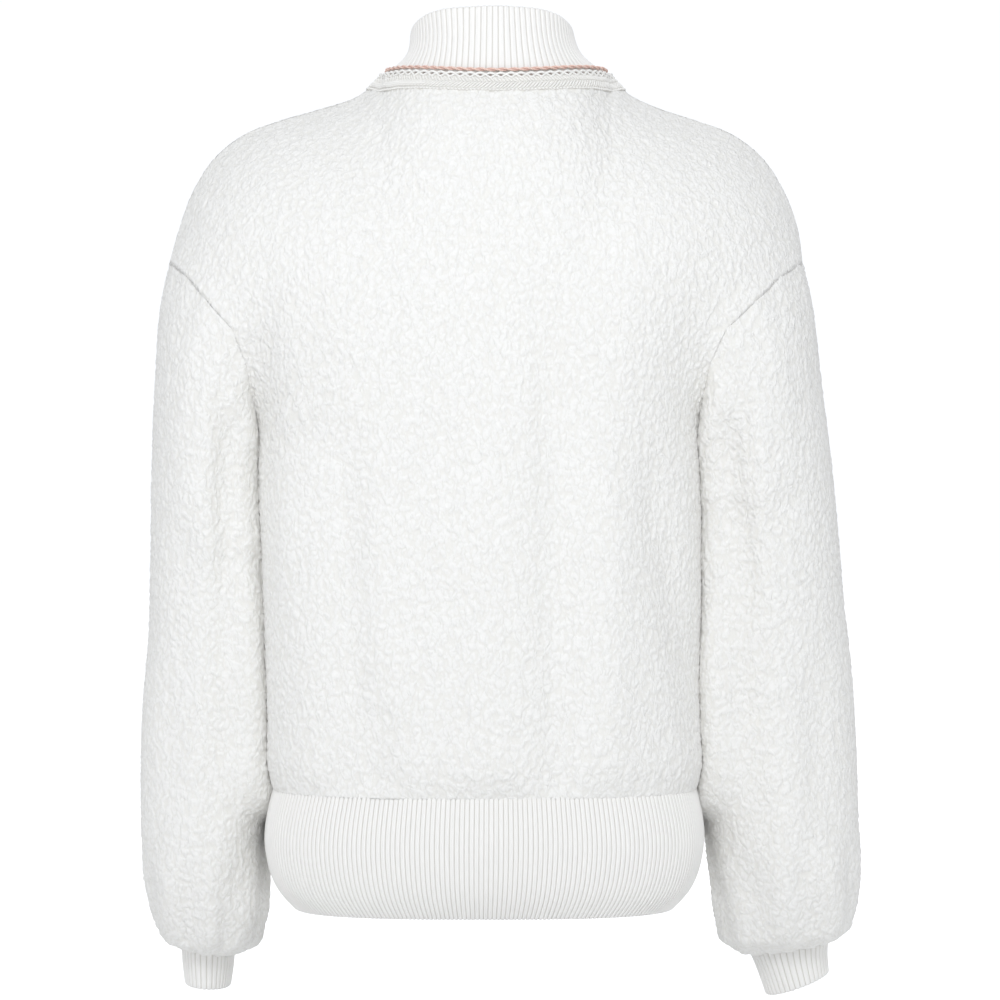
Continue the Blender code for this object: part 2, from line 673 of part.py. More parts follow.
def collar_rib(panels):
    left, back, right = round_the_body(panels, -1)
    skip = SHOULDER_COLUMNS
    base = np.vstack([left[: NECK_COLUMNS + 1], back[skip + 1 : -skip], right[skip + 1 :]])
    half = even_curve(COLLAR_TOP, 2 * NECK_COLUMNS)
    top = np.vstack([half, half[::-1][1:] * np.array([-1.0, 1.0, 1.0])])
    edge_fade = smooth_step(np.abs(top[:, 0]), ZIP_EDGE, 0.03)
    top[:, 0] += COLLAR_TOP_SHIFT * edge_fade
    middle = base + (top - base) * COLLAR_MIDDLE
    out = unit((middle - np.array([0.0, NECK_AXIS_Y, 0.0])) * np.array([1.0, 1.0, 0.0]))
    middle = middle - out * COLLAR_WAIST * np.abs(out[:, :1])
    return Grid("collar_rib", np.array([base, middle, top]))


# ---------------------------------------------------------------------------------------------
# Walls
# ---------------------------------------------------------------------------------------------
def add_object(name, points, faces, finish):
    """A mesh object with its normals facing out and its own material."""
    mesh = bpy.data.meshes.new(name)
    mesh.from_pydata([tuple(point) for point in points], [], faces)
    editable = bmesh.new()
    editable.from_mesh(mesh)
    bmesh.ops.recalc_face_normals(editable, faces=editable.faces)
    if editable.calc_volume(signed=True) < 0:
        bmesh.ops.reverse_faces(editable, faces=editable.faces)
    editable.to_mesh(mesh)
    editable.free()
    mesh.shade_smooth()
    mesh.set_sharp_from_angle(angle=math.radians(50))
    made = bpy.data.objects.new(name, mesh)
    bpy.context.scene.collection.objects.link(made)
    give_material(made, finish)
    return made


def give_material(made, finish):
    colour, roughness, metallic = FINISHES[finish]
    material = bpy.data.materials.new(made.name)
    material.use_nodes = True
    shader = material.node_tree.nodes["Principled BSDF"]
    shader.inputs["Base Color"].default_value = (*colour, 1.0)
    shader.inputs["Roughness"].default_value = roughness
    shader.inputs["Metallic"].default_value = metallic
    made.data.materials.append(material)


def split(points, corners):
    """A four-cornered face as two triangles, parted along its shorter diagonal."""
    a, b, c, d = corners
    first = np.linalg.norm(points[a] - points[c])
    second = np.linalg.norm(points[b] - points[d])
    return [(a, b, c), (a, c, d)] if first <= second else [(a, b, d), (b, c, d)]


def wall_mesh(outer, inner, closed):
    """Points and faces of a wall. Its inner skin may have fewer columns than its outer skin."""
    rows, outer_columns = outer.shape[:2]
    inner_columns = inner.shape[1]
    spans = inner_columns if closed else inner_columns - 1
    per_span = outer_columns // spans
    points = np.vstack([outer.reshape(-1, 3), inner.reshape(-1, 3)])

    def out(row, column):
        return row * outer_columns + column % outer_columns

    def within(row, column):
        return rows * outer_columns + row * inner_columns + column % inner_columns

    def skin(place, columns):
        for row in range(rows - 1):
            for column in range(columns):
                corners = (place(row, column), place(row, column + 1))
                corners += (place(row + 1, column + 1), place(row + 1, column))
                yield from split(points, corners)

    faces = [*skin(out, spans * per_span), *skin(within, spans)]
    if not closed:
        for last_out, last_in in ((0, 0), (outer_columns - 1, inner_columns - 1)):
            for row in range(rows - 1):
                corners = (out(row, last_out), out(row + 1, last_out))
                corners += (within(row + 1, last_in), within(row, last_in))
                faces += split(points, corners)
    for row in (0, rows - 1):
        for column in range(spans):
            near, far = within(row, column), within(row, column + 1)
            start = column * per_span
            turn = per_span // 2
            for step in range(per_span):
                corner = near if step < turn else far
                faces.append((corner, out(row, start + step), out(row, start + step + 1)))
            faces.append((near, out(row, start + turn), far))
    return points, faces


def build_wall(grid, thickness, finish):
    """A cloth panel: two skins, half the thickness on each side of the grid."""
    outer = grid.middle + grid.normals * thickness / 2
    inner = grid.middle - grid.normals * thickness / 2
    return add_object(grid.name, *wall_mesh(outer, inner, grid.closed), finish)


def sample_row(row, at, closed, smooth):
    """A row of points read at fractional column numbers."""
    if closed:
        row = np.vstack([row, row[:1]])
    if smooth:
        return curve_at(row, at)
    low = np.clip(np.floor(at).astype(int), 0, len(row) - 2)
    part = (at - low)[:, None]
    return row[low] * (1 - part) + row[low + 1] * part


def build_rib(grid, ribs, seam_row, finish="rib"):
    """A rib-knit wall: upright ribs raised on its outer skin over a plain inner skin."""
    rows = len(grid.middle)
    middle_row = grid.middle[rows // 2]
    if grid.closed:
        middle_row = np.vstack([middle_row, middle_row[:1]])
    at = even_places(middle_row, ribs * OUTER_PER_RIB)
    inner_step = OUTER_PER_RIB * RIBS_PER_INNER_POINT
    if grid.closed:
        at = at[:-1]
    outer, inner = [], []
    for row in range(rows):
        smooth = row != seam_row
        middle = sample_row(grid.middle[row], at, grid.closed, smooth)
        normals = unit(sample_row(grid.normals[row], at, grid.closed, False))
        relief = RIB_RELIEF * (np.arange(len(at)) % OUTER_PER_RIB)[:, None]
        outer.append(middle + normals * (RIB_WALL / 2 + relief))
        inner.append((middle - normals * RIB_WALL / 2)[::inner_step])
    outer, inner = np.array(outer), np.array(inner)
    return add_object(grid.name, *wall_mesh(outer, inner, grid.closed), finish)


# ---------------------------------------------------------------------------------------------
# Neck trims
# ---------------------------------------------------------------------------------------------
def outer_surface(panels):
    """The panels' outer skins as one surface to lay trims on."""
    points, faces = [], []
    for grid in panels.values():
        outer = grid.middle + grid.normals * FLEECE_WALL / 2
        rows, columns = outer.shape[:2]
        flat = outer.reshape(-1, 3)
        first = len(points)
        points += [Vector(point) for point in flat]
        for row in range(rows - 1):
            for column in range(columns - 1):
                corner = row * columns + column
                corners = (corner, corner + 1, corner + columns + 1, corner + columns)
                faces += [tuple(first + k for k in face) for face in split(flat, corners)]
    return BVHTree.FromPolygons(points, faces)


def neck_stations(base):
    """Column numbers along the neck seam, with one at each shoulder seam."""
    ends = np.array([0, 1, 3, 4]) * NECK_COLUMNS
    places = [np.zeros(1)]
    for start, end, count in zip(ends, ends[1:], TAPE_SEGMENTS):
        places.append(start + even_places(base[start : end + 1], count)[1:])
    return np.concatenate(places)


def neck_tape(panels, collar):
    """A flat tape on the cloth beside the neck seam, walked out square to the seam."""
    surface = outer_surface(panels)
    base = collar.middle[0]
    line = curve_at(base, neck_stations(base))
    tangents = unit(np.gradient(line, axis=0))
    stops = (TAPE_START, (TAPE_START + TAPE_WIDTH) / 2, TAPE_WIDTH)
    places = np.zeros((len(stops), len(line), 3))
    normals = np.zeros_like(places)
    for column, (start, tangent) in enumerate(zip(line, tangents)):
        place, normal = surface.find_nearest(Vector(start))[:2]
        outwards = Vector(start) - Vector((0.0, NECK_AXIS_Y, start[2]))
        walked = 0.0
        for number, stop in enumerate(stops):
            steps = max(1, round((stop - walked) / TAPE_WIDTH * TAPE_STEPS))
            for _ in range(steps):
                way = Vector(tangent).cross(normal).normalized()
                if way.dot(outwards) < 0:
                    way.negate()
                place, normal = surface.find_nearest(place + way * (stop - walked) / steps)[:2]
            walked = stop
            places[number, column] = place
            normals[number, column] = normal
    for _ in range(3):
        normals[:, 1:-1] = unit(normals[:, :-2] + normals[:, 1:-1] + normals[:, 2:])
    inner = places + normals * TAPE_LIFT
    outer = inner + normals * TAPE_THICKNESS
    return add_object("neck_tape", *wall_mesh(outer, inner, closed=False), "tape")


def neck_cord(collar):
    """A round cord in the corner between the tape and the collar."""
    at = even_places(collar.middle[0], CORD_POINTS - 1)
    line = curve_at(collar.middle[0], at)
    lift = unit(sample_row(collar.normals[0], at, False, False))
    route = line + lift * CORD_LIFT
    curve = bpy.data.curves.new("neck_cord", "CURVE")
    curve.dimensions = "3D"
    curve.bevel_depth = CORD_RADIUS
    curve.bevel_resolution = 1
    curve.use_fill_caps = True
    spline = curve.splines.new("POLY")
    spline.points.add(len(route) - 1)
    for point, place in zip(spline.points, route):
        point.co = (*place, 1.0)
    made = bpy.data.objects.new("neck_cord", curve)
    bpy.context.scene.collection.objects.link(made)
    give_material(made, "cord")
    return made


# ---------------------------------------------------------------------------------------------
# Zip
# ---------------------------------------------------------------------------------------------
def zip_rows(side, panels, hem, collar):
    """Along one front's zip edge, bottom to top: the edge, the next column and the normals."""
    front = panels["front_left" if side > 0 else "front_right"]
    edge, beside = (0, 1) if side > 0 else (-1, -2)
    stack = [
        (hem.middle[:-1, edge], hem.middle[:-1, beside], hem.normals[:-1, edge]),
        (front.middle[:, edge], front.middle[:, beside], front.normals[:, edge]),
        (collar.middle[1:, edge], collar.middle[1:, beside], collar.normals[1:, edge]),
    ]
    return [np.vstack([part[k] for part in stack]) for k in range(3)]


def zip_half(side_name, panels, hem, collar):
    """Half of the zip: its tape behind the front's edge, with the raised row of teeth on it."""
    side = SIDES[side_name]
    edges, beside, normals = zip_rows(side, panels, hem, collar)
    normals = unit(normals * np.array([0.0, 1.0, 1.0]))
    profile = (
        (TEETH_GAP, ZIP_TAPE_BACK),
        (ZIP_TAPE_REACH, ZIP_TAPE_BACK),
        (ZIP_TAPE_REACH, ZIP_TAPE_FACE),
        (TEETH_HALF_WIDTH, ZIP_TAPE_FACE),
        (TEETH_HALF_WIDTH, TEETH_FACE),
        (TEETH_GAP, TEETH_FACE),
    )
    edges[0] += (edges[1] - edges[0]) * (BOX_SIZE[2] + SEAM_GAP) / np.linalg.norm(edges[1] - edges[0])
    centre_x = edges[:, 0] - side * ZIP_EDGE
    turn_back = (beside[:, 1] - edges[:, 1]) / np.abs(beside[:, 0] - edges[:, 0])
    points = []
    for row in range(len(edges)):
        for across, depth in profile:
            x = centre_x[row] + side * across
            y = edges[row, 1] + max(0.0, across - ZIP_EDGE) * turn_back[row]
            points.append(np.array([x, y, edges[row, 2]]) + normals[row] * depth)
    count = len(profile)
    faces = [tuple(range(count)), tuple(range((len(edges) - 1) * count, len(edges) * count))]
    for row in range(len(edges) - 1):
        for k in range(count):
            near, far = row * count + k, row * count + (k + 1) % count
            faces.append((near, far, far + count, near + count))
    return add_object("zip_half_" + side_name, points, faces, "zip_tape")


def new_block(name, size, centre, bevel, finish):
    """A block with softened edges."""
    mesh = bpy.data.meshes.new(name)
    editable = bmesh.new()
    bmesh.ops.create_cube(editable, size=1.0)
    bmesh.ops.scale(editable, vec=size, verts=editable.verts)
    bmesh.ops.bevel(editable, geom=editable.edges[:], offset=bevel, segments=1, affect="EDGES")
    bmesh.ops.translate(editable, vec=centre, verts=editable.verts)
    editable.to_mesh(mesh)
    editable.free()
    made = bpy.data.objects.new(name, mesh)
    bpy.context.scene.collection.objects.link(made)
    if finish:
        give_material(made, finish)
    return made


def new_rod(name, radius, length, centre, sides=12):
    """A rod along X."""
    mesh = bpy.data.meshes.new(name)
    editable = bmesh.new()
    bmesh.ops.create_cone(
        editable, cap_ends=True, segments=sides, radius1=radius, radius2=radius, depth=length
    )
    turn = Vector((0, 0, 1)).rotation_difference(Vector((1, 0, 0))).to_matrix()
    bmesh.ops.rotate(editable, matrix=turn, verts=editable.verts)
    bmesh.ops.translate(editable, vec=centre, verts=editable.verts)
    editable.to_mesh(mesh)
    editable.free()
    made = bpy.data.objects.new(name, mesh)
    bpy.context.scene.collection.objects.link(made)
    return made


def combine(base, other, operation):
    """An exact Boolean on base, with the other piece kept as a hidden guide."""
    modifier = base.modifiers.new(other.name, "BOOLEAN")
    modifier.operation = operation
    modifier.solver = "EXACT"
    modifier.object = other
    other.hide_render = True
    other.display_type = "WIRE"


def zip_box(edges):
    """The box that holds the zip's lower end together."""
    way = unit(edges[1] - edges[0])
    centre = edges[0] + way * BOX_SIZE[2] / 2
    centre[0] -= ZIP_EDGE
    centre[1] += (BOX_SIZE[1] / 2 + ZIP_TAPE_BACK + TEETH_FACE) / 2
    made = new_block("zip_box", BOX_SIZE, (0, 0, 0), PULL_BEVEL, "metal")
    made.location = centre
    made.rotation_euler[0] = math.atan2(-way[1], way[2])
    return made


def zip_slider(centre):
    """The slider's face plate with the small bridge that carries the pull. Gives the pull's pivot."""
    plate = new_block("zip_slider", SLIDER_PLATE, centre, PULL_BEVEL, "metal")
    bar_y = centre[1] - SLIDER_PLATE[1] / 2 - BAR_OUT
    for number, sign in enumerate((-1, 1)):
        post_depth = BAR_OUT + BAR_RADIUS + SLIDER_PLATE[1] / 2
        place = (centre[0] + sign * POST_SPAN / 2, bar_y - BAR_RADIUS + post_depth / 2, centre[2])
        size = (POST_SIZE, post_depth, 3 * BAR_RADIUS)
        combine(plate, new_block(f"guide_post_{number}", size, place, 0.0001, None), "UNION")
    bar = new_rod("guide_bar", BAR_RADIUS, POST_SPAN, (centre[0], bar_y, centre[2]))
    combine(plate, bar, "UNION")
    return Vector((centre[0], bar_y, centre[2]))


def zip_pull(pivot):
    """The pull tab: an eye round the slider's bar, and a flat tab that hangs from it."""
    made = new_rod("zip_pull", EYE_RADIUS, EYE_WIDTH, (0, 0, 0), sides=14)
    give_material(made, "metal")
    neck_size = (EYE_WIDTH, PULL_THICKNESS, 2 * EYE_RADIUS)
    neck = new_block("guide_neck", neck_size, (0, 0, -1.9 * EYE_RADIUS), 0.0001, None)
    tab_length = PULL_LENGTH - 2 * EYE_RADIUS
    tab_centre = (0, 0, -2 * EYE_RADIUS - tab_length / 2)
    tab = new_block("guide_tab", (PULL_WIDTH, PULL_THICKNESS, tab_length), tab_centre, PULL_BEVEL, None)
    combine(made, neck, "UNION")
    combine(made, tab, "UNION")
    eye = new_rod("guide_eye", EYE_HOLE, 2 * EYE_WIDTH, (0, 0, 0))
    hole = new_rod("guide_hole", PULL_HOLE, 4 * PULL_THICKNESS, (0, 0, 0))
    hole.rotation_euler[2] = math.pi / 2
    hole.location = (0, 0, 2.5 * PULL_HOLE - PULL_LENGTH)
    combine(made, eye, "DIFFERENCE")
    combine(made, hole, "DIFFERENCE")
    for piece in (neck, tab, eye, hole):
        piece.parent = made
    made.location = pivot
    return made


# ---------------------------------------------------------------------------------------------
# The jacket
# ---------------------------------------------------------------------------------------------
def clear_scene():
    for thing in list(bpy.data.objects):
        bpy.data.objects.remove(thing, do_unlink=True)


def main():
    clear_scene()
    panels = body_panels()
    back = panels["back"]
    sleeves, cuffs = {}, {}
    for side_name in SIDES:
        front = panels["front_" + side_name]
        sleeves[side_name] = sleeve(side_name, front, back)
        cuffs[side_name] = cuff(side_name, sleeves[side_name])
    hem = hem_rib(panels)
    collar = collar_rib(panels)
    body_grids = [*panels.values(), hem, collar]
    sleeve_grids = [*sleeves.values(), *cuffs.values()]
    share_normals(body_grids, sleeve_grids)
    for side_name, grid in sleeves.items():
        even_armhole_normals(grid, first=0 if SIDES[side_name] > 0 else 1)
    for grid in (*body_grids, *sleeve_grids):
        draw_back(grid)

    for grid in (*panels.values(), *sleeves.values()):
        build_wall(grid, FLEECE_WALL, "fleece")
    for grid in cuffs.values():
        build_rib(grid, CUFF_RIBS, seam_row=0)
    build_rib(hem, HEM_RIBS, seam_row=len(HEM_RIB_HEIGHTS) - 1)
    build_rib(collar, COLLAR_RIBS, seam_row=0)

    neck_tape(panels, collar)
    neck_cord(collar)
    for side_name in SIDES:
        zip_half(side_name, panels, hem, collar)
    zip_box(hem.middle[:, 0].copy())
    collar_front = collar.middle[-1, 0]
    slider_y = collar_front[1] - TEETH_FACE - SLIDER_GAP - SLIDER_PLATE[1] / 2
    slider_z = collar_front[2] - SLIDER_BELOW_TOP
    pivot = zip_slider((0.0, slider_y, slider_z))
    zip_pull(pivot)


main()
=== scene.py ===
"""Curly fleece jacket: cloth, ribs, neck trims and zip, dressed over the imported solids."""

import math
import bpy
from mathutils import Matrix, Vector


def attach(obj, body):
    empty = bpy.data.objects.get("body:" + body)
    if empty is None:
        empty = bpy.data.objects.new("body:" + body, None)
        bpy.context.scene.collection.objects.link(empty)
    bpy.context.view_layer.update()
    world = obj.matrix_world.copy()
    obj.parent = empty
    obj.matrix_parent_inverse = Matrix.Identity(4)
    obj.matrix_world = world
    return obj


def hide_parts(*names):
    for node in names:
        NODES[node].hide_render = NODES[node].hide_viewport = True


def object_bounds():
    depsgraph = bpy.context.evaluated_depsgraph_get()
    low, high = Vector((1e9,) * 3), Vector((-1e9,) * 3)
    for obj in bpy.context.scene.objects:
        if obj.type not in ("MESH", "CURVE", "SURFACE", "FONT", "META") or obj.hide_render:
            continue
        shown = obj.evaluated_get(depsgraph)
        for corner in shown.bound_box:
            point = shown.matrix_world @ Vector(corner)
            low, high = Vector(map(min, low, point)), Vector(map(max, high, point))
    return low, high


bl_info = {
    "name": "Fleece jacket",
    "version": (1, 0, 0),
    "blender": (4, 5, 0),
    "location": "3D View > Sidebar > Jacket",
    "description": "Curly fleece panels, rib knit, braided neck tape, cord and zip of a jacket",
    "category": "Add Mesh",
}

import bmesh
import bpy
import numpy as np
from bpy.props import FloatProperty, FloatVectorProperty, PointerProperty
from mathutils.kdtree import KDTree

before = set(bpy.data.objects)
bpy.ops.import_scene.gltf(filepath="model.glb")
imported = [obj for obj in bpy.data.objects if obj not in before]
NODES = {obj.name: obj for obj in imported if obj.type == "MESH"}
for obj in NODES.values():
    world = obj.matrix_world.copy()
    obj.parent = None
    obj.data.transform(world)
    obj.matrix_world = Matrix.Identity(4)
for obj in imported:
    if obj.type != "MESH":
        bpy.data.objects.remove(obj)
CAD_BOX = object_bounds()

# Rows and columns of points in each solid's outer skin, and columns in its inner skin.
SKINS = {
    "back": (16, 29, 29),
    "front_left": (16, 15, 15),
    "front_right": (16, 15, 15),
    "sleeve_left": (13, 32, 32),
    "sleeve_right": (13, 32, 32),
    "cuff_left": (3, 80, 20),
    "cuff_right": (3, 80, 20),
    "hem_rib": (4, 497, 125),
    "collar_rib": (3, 201, 51),
    "neck_tape": (3, 85, 85),
}
TUBES = ("sleeve_left", "sleeve_right", "cuff_left", "cuff_right")
RIBBED = ("cuff_left", "cuff_right", "hem_rib", "collar_rib")
RIB_STEPS = 8  # columns of points in one rib
# A triangle lies on a wall's edge if it has a side shorter than these: rib knit at the zip, the
# neck tape, fleece. In rib knit one with no side as long as RIM_RIBS does too.
RIM_AT_ZIP, RIM_TAPE, RIM_FLEECE, RIM_RIBS = 0.0034, 0.0016, 0.0033, 0.012
KINK = math.radians(38)  # a curve keeps a corner where it turns by more than this

# Soft creases on the fleece: a line of (x, z) places in mm on one face of the jacket, then the
# crease's half width and depth in mm. A negative depth is a ridge.
CREASES = {
    "back": (
        (((113, -245), (115, -380), (110, -535)), 17, 2.2),
        (((90, -470), (92, -537)), 10, 2.0),
        (((-34, -150), (-38, -330), (-40, -537)), 17, 2.6),
        (((-104, -280), (-124, -380), (-148, -490)), 17, 2.6),
        (((162, -300), (158, -520)), 18, -1.6),
        (((6, -260), (8, -520)), 20, -1.4),
        (((-78, -300), (-82, -520)), 18, -1.6),
        (((60, -130), (66, -420)), 22, 1.0),
    ),
    "front_left": (
        (((48, -200), (52, -380), (46, -535)), 18, 2.4),
        (((112, -190), (120, -360), (126, -530)), 17, 2.4),
        (((84, -330), (88, -532)), 16, -1.6),
    ),
    "front_right": (
        (((-44, -230), (-50, -400), (-42, -535)), 18, 2.2),
        (((-108, -180), (-118, -350), (-124, -520)), 17, 2.4),
        (((-80, -320), (-84, -532)), 16, -1.6),
    ),
}
# Creases on the sleeves, as (x, z) places seen from behind or from in front.
SLEEVE_CREASES = {
    "sleeve_left": (
        (((186, -210), (196, -330), (190, -420)), 13, 2.4),
        (((238, -330), (212, -400), (196, -440)), 12, 1.8),
        (((196, -470), (214, -560), (222, -640)), 11, 2.4),
        (((246, -440), (238, -560), (230, -640)), 11, 1.8),
        (((187, -350), (194, -425), (206, -520)), 26, 6.0),
    ),
    "sleeve_right": (
        (((-184, -180), (-178, -290), (-182, -380)), 13, 2.6),
        (((-232, -300), (-200, -350), (-176, -400)), 12, 1.8),
        (((-172, -420), (-190, -520), (-206, -620)), 12, 2.6),
        (((-240, -430), (-236, -550), (-224, -640)), 11, 1.8),
        (((-174, -315), (-185, -400), (-198, -490)), 26, 6.0),
    ),
}
# Gathers where a sleeve is eased into its cuff: place round the sleeve, depth and length in mm.
GATHERS = (
    (0.02, 1.5, 34), (0.08, 1.0, 20), (0.15, 1.7, 46), (0.21, 1.1, 24), (0.27, 1.4, 38),
    (0.34, 1.0, 22), (0.40, 1.6, 42), (0.47, 1.2, 26), (0.53, 1.5, 44), (0.60, 1.0, 20),
    (0.66, 1.6, 36), (0.73, 1.2, 26), (0.80, 1.7, 48), (0.86, 1.0, 22), (0.93, 1.4, 34),
)
GATHER_WIDTH = 0.016  # as a part of the way round the sleeve
SEAM_REACH = 0.0009  # how far each edge runs on into its seam
LEAN_DEPTH = 0.0036  # how far a sleeve sinks into the pile of the body it leans on
LEAN_MOST = 0.013  # the most that a sleeve swells towards the body
LEAN_FADE = (0.014, 0.030)  # gaps to the body over which the swell fades out
LEAN_LOW = (-0.63, -0.56)  # heights over which the swell fades out above the cuff
LEAN_HIGH = (0.22, 0.28)  # depths below the neck over which it fades out under the armhole
EDGE_FADE = 0.02  # from a fleece piece's edge to its full creases
ARMHOLE_FADE = 0.05  # the same at the top of a sleeve
OVERHANG = (0.0022, 0.0009)  # how far a fleece piece's lower edge hangs down and stands out
SEAM_ROLL = (0.0026, 0.0003)  # width and depth of the rolled seams on the wearer's right
FLEECE_RATIO = 4  # points of the fleece's outer skin for each point of its inner skin
FOLD_THICKNESS = 0.0024  # of the rib knit where its free edge is folded
FOLD_ANGLES = (28, 60, 92, 124, 152)  # rows of points round that fold, in degrees
TAPE_SUNK = (0.0014, 0.0008, 0.0003)  # into the pile, from the tape's lower edge up
# The neck tape's two rows of slanted stitches: reach along the tape, lower and upper end across
# it, thickness in yarns, and which of four random numbers stir its ends.
STITCH_ROWS = (
    (0.0030, 0.10, 0.48, 0.88, (0, 1, 2, 3)),
    (-0.0017, 0.46, 0.73, 0.78, (3, 2, 1, 0)),
)
STITCH_LIFT = 0.0006
STIR = 0.00016  # how far the ends stray along the tape
STIR_ACROSS = 60  # and across it, in widths of the tape for each metre
CORD_STAND = (0.0043, 0.0009)  # from its seam, and how much less at the sides of the neck
# Across a zip tape: the part of its width, and how far its corded edge stands out there.
ZIP_PROFILE = (
    (0.0, 0.0), (0.03, 0.0002), (0.07, 0.0005), (0.12, 0.0008), (0.18, 0.0005),
    (0.35, 0.0), (0.6, 0.0), (0.85, 0.0), (1.0, 0.0),
)
ZIP_TAPE = 0.0009  # thickness
TOOTH_SIZE = (0.0027, 0.0022, 0.0013)
TOOTH_SEAT = (0.00095, 0.0012)  # forward of the tape's edge, and back from the zip's middle
TEETH_START, TEETH_SHORT = 0.008, 0.012  # the first tooth's place, and length left without teeth
WANDER = (1.9, 1.9, 1.3)  # how far the curls stray from an even pattern, in curls
GROUND_SHADE = (0.76, 0.74, 0.69)  # painted shade: the darkest colour of the neck tape's ground between its stitches, mixed in at random
# Painted shade in the tape's eyelet holes.
EYELET_SHADE = (0.40, 0.33, 0.30)
COOL = (0.955, 0.972, 1.0)  # daylight, a little cooler than the cloth
MIDDLE = (0.0, 0.0, -0.33)  # what the lamps point at


# ---- Sizes and colours that a user would change ----
def colour_setting(name, description, default):
    return FloatVectorProperty(
        name=name, description=description, default=default, size=3, min=0, max=1, subtype="COLOR"
    )


def length_setting(name, description, default):
    return FloatProperty(
        name=name, description=description, default=default, precision=5, unit="LENGTH"
    )


class FleeceSettings(bpy.types.PropertyGroup):
    step: length_setting("Step", "Distance between points on the fleece", 0.00168)
    nub_across: length_setting("Nub width", "Width of one curl of the pile", 0.0029)
    nub_along: length_setting("Nub length", "Height of one curl of the pile", 0.0045)
    nub_height: length_setting("Nub height", "How far the curls stand over the gaps", 0.0013)
    top: colour_setting("Curl colour", "Colour on top of the curls", (0.908, 0.90, 0.876))
    # Painted shade: the gap colour stands for the warm shade down between the curls.
    gap: colour_setting("Gap colour", "Colour down between the curls", (0.855, 0.843, 0.805))


class RibSettings(bpy.types.PropertyGroup):
    relief: length_setting("Rib relief", "How far the ribs stand over the grooves", 0.0009)
    row_step: length_setting("Row step", "Distance between points along a rib", 0.0040)
    stitch: length_setting("Stitch height", "Height of one knit stitch", 0.0015)
    ridge: colour_setting("Rib colour", "Colour on the ribs", (0.94, 0.93, 0.905))
    # Painted shade: the groove colour stands for the shade in the rib knit's grooves.
    groove: colour_setting("Groove colour", "Colour in the grooves", (0.76, 0.735, 0.68))


class TrimSettings(bpy.types.PropertyGroup):
    stitch_step: length_setting("Stitch step", "Distance between the tape's stitches", 0.0027)
    eyelet_step: length_setting("Eyelet step", "Distance between the tape's eyelets", 0.0078)
    yarn: length_setting("Yarn radius", "Half the thickness of the tape's yarn", 0.00090)
    tape: colour_setting("Tape colour", "Colour of the tape's yarn", (0.955, 0.945, 0.915))
    # Painted shade: the tape gap colour stands for the shade between the tape's stitches.
    tape_gap_shade: colour_setting("Tape gap colour", "Colour between the stitches", (0.89, 0.875, 0.84))
    strand: length_setting("Strand radius", "Half the thickness of one strand of the cord", 0.00074)
    twist: length_setting("Twist", "Length of one full turn of the cord", 0.0154)
    cord: colour_setting("Cord colour", "Colour of the cord", (0.95, 0.71, 0.61))


class ZipSettings(bpy.types.PropertyGroup):
    tooth_step: length_setting("Tooth step", "Distance between teeth on one side", 0.0030)
    tape: colour_setting("Zip tape colour", "Colour of the woven tape", (0.92, 0.905, 0.87))
    metal: colour_setting("Metal colour", "Colour of the zip's metal parts", (0.66, 0.63, 0.58))


class StageSettings(bpy.types.PropertyGroup):
    distance: length_setting("Camera distance", "From the jacket to the camera", 2.5)
    lens: FloatProperty(name="Lens", description="Focal length in mm", default=120.0)
    floor_drop: length_setting("Floor", "Gap between the cuffs and the floor", 0.035)
    surround: FloatProperty(name="Surround light", description="Light from all round", default=0.66)
    key: FloatProperty(name="Key light", description="Power of the key lamps", default=21.0)
    top: FloatProperty(name="Top light", description="Power of the lamp overhead", default=1.0)


SETTINGS = {
    "jacket_fleece": FleeceSettings,
    "jacket_rib": RibSettings,
    "jacket_trim": TrimSettings,
    "jacket_zip": ZipSettings,
    "jacket_stage": StageSettings,
}


# ---- Reading the solids' skins as rows and columns of points ----
def unit(vectors):
    return vectors / np.maximum(np.linalg.norm(vectors, axis=-1, keepdims=True), 1e-12)


def smooth_step(values, start, end):
    part = np.clip((values - start) / (end - start), 0.0, 1.0)
    return part * part * (3.0 - 2.0 * part)


def blend(low, high, part):
    return low * (1 - part) + high * part


def smoothed(values, rounds):
    """Values smoothed along axis 0, with both ends kept."""
    for _ in range(rounds):
        values = values.copy()
        values[1:-1] = (values[:-2] + 2 * values[1:-1] + values[2:]) / 4
    return values


def reaches(line):
    """How far along a line each of its points lies."""
    return np.concatenate([[0.0], np.cumsum(np.linalg.norm(np.diff(line, axis=0), axis=1))])


def is_rim(face, name):
    """Whether a triangle of a wall lies on its edge and not on one of its skins."""
    lengths = [edge.calc_length() for edge in face.edges]
    centre = face.calc_center_median()
    if name in RIBBED:
        at_zip = abs(centre.x) < 0.03 and centre.y < -0.05 and abs(face.normal.x) > 0.85
        return (at_zip and min(lengths) < RIM_AT_ZIP) or max(lengths) < RIM_RIBS
    return min(lengths) < (RIM_TAPE if name == "neck_tape" else RIM_FLEECE)


def wall_skins(name):
    """A wall's points, and the triangles of its outer and of its inner skin."""
    wall = bmesh.new()
    wall.from_mesh(NODES[name].data)
    bmesh.ops.remove_doubles(wall, verts=wall.verts, dist=1e-5)
    wall.verts.index_update()
    wall.faces.index_update()
    wall.normal_update()
    points = np.array([point.co[:] for point in wall.verts])
    left = {face for face in wall.faces if not is_rim(face, name)}
    skins = []
    while left:
        first = left.pop()
        skin, waiting = [first], [first]
        while waiting:
            for edge in waiting.pop().edges:
                for face in edge.link_faces:
                    if face in left:
                        left.remove(face)
                        skin.append(face)
                        waiting.append(face)
        area = sum(face.calc_area() for face in skin)
        skins.append((area, [[corner.index for corner in face.verts] for face in skin]))
    wall.free()
    skins.sort(key=lambda skin: -skin[0])
    if len(skins) < 2:
        raise RuntimeError(f"{name}: its two skins could not be told apart")
    return points, skins[0][1], [corners[::-1] for corners in skins[1][1]]


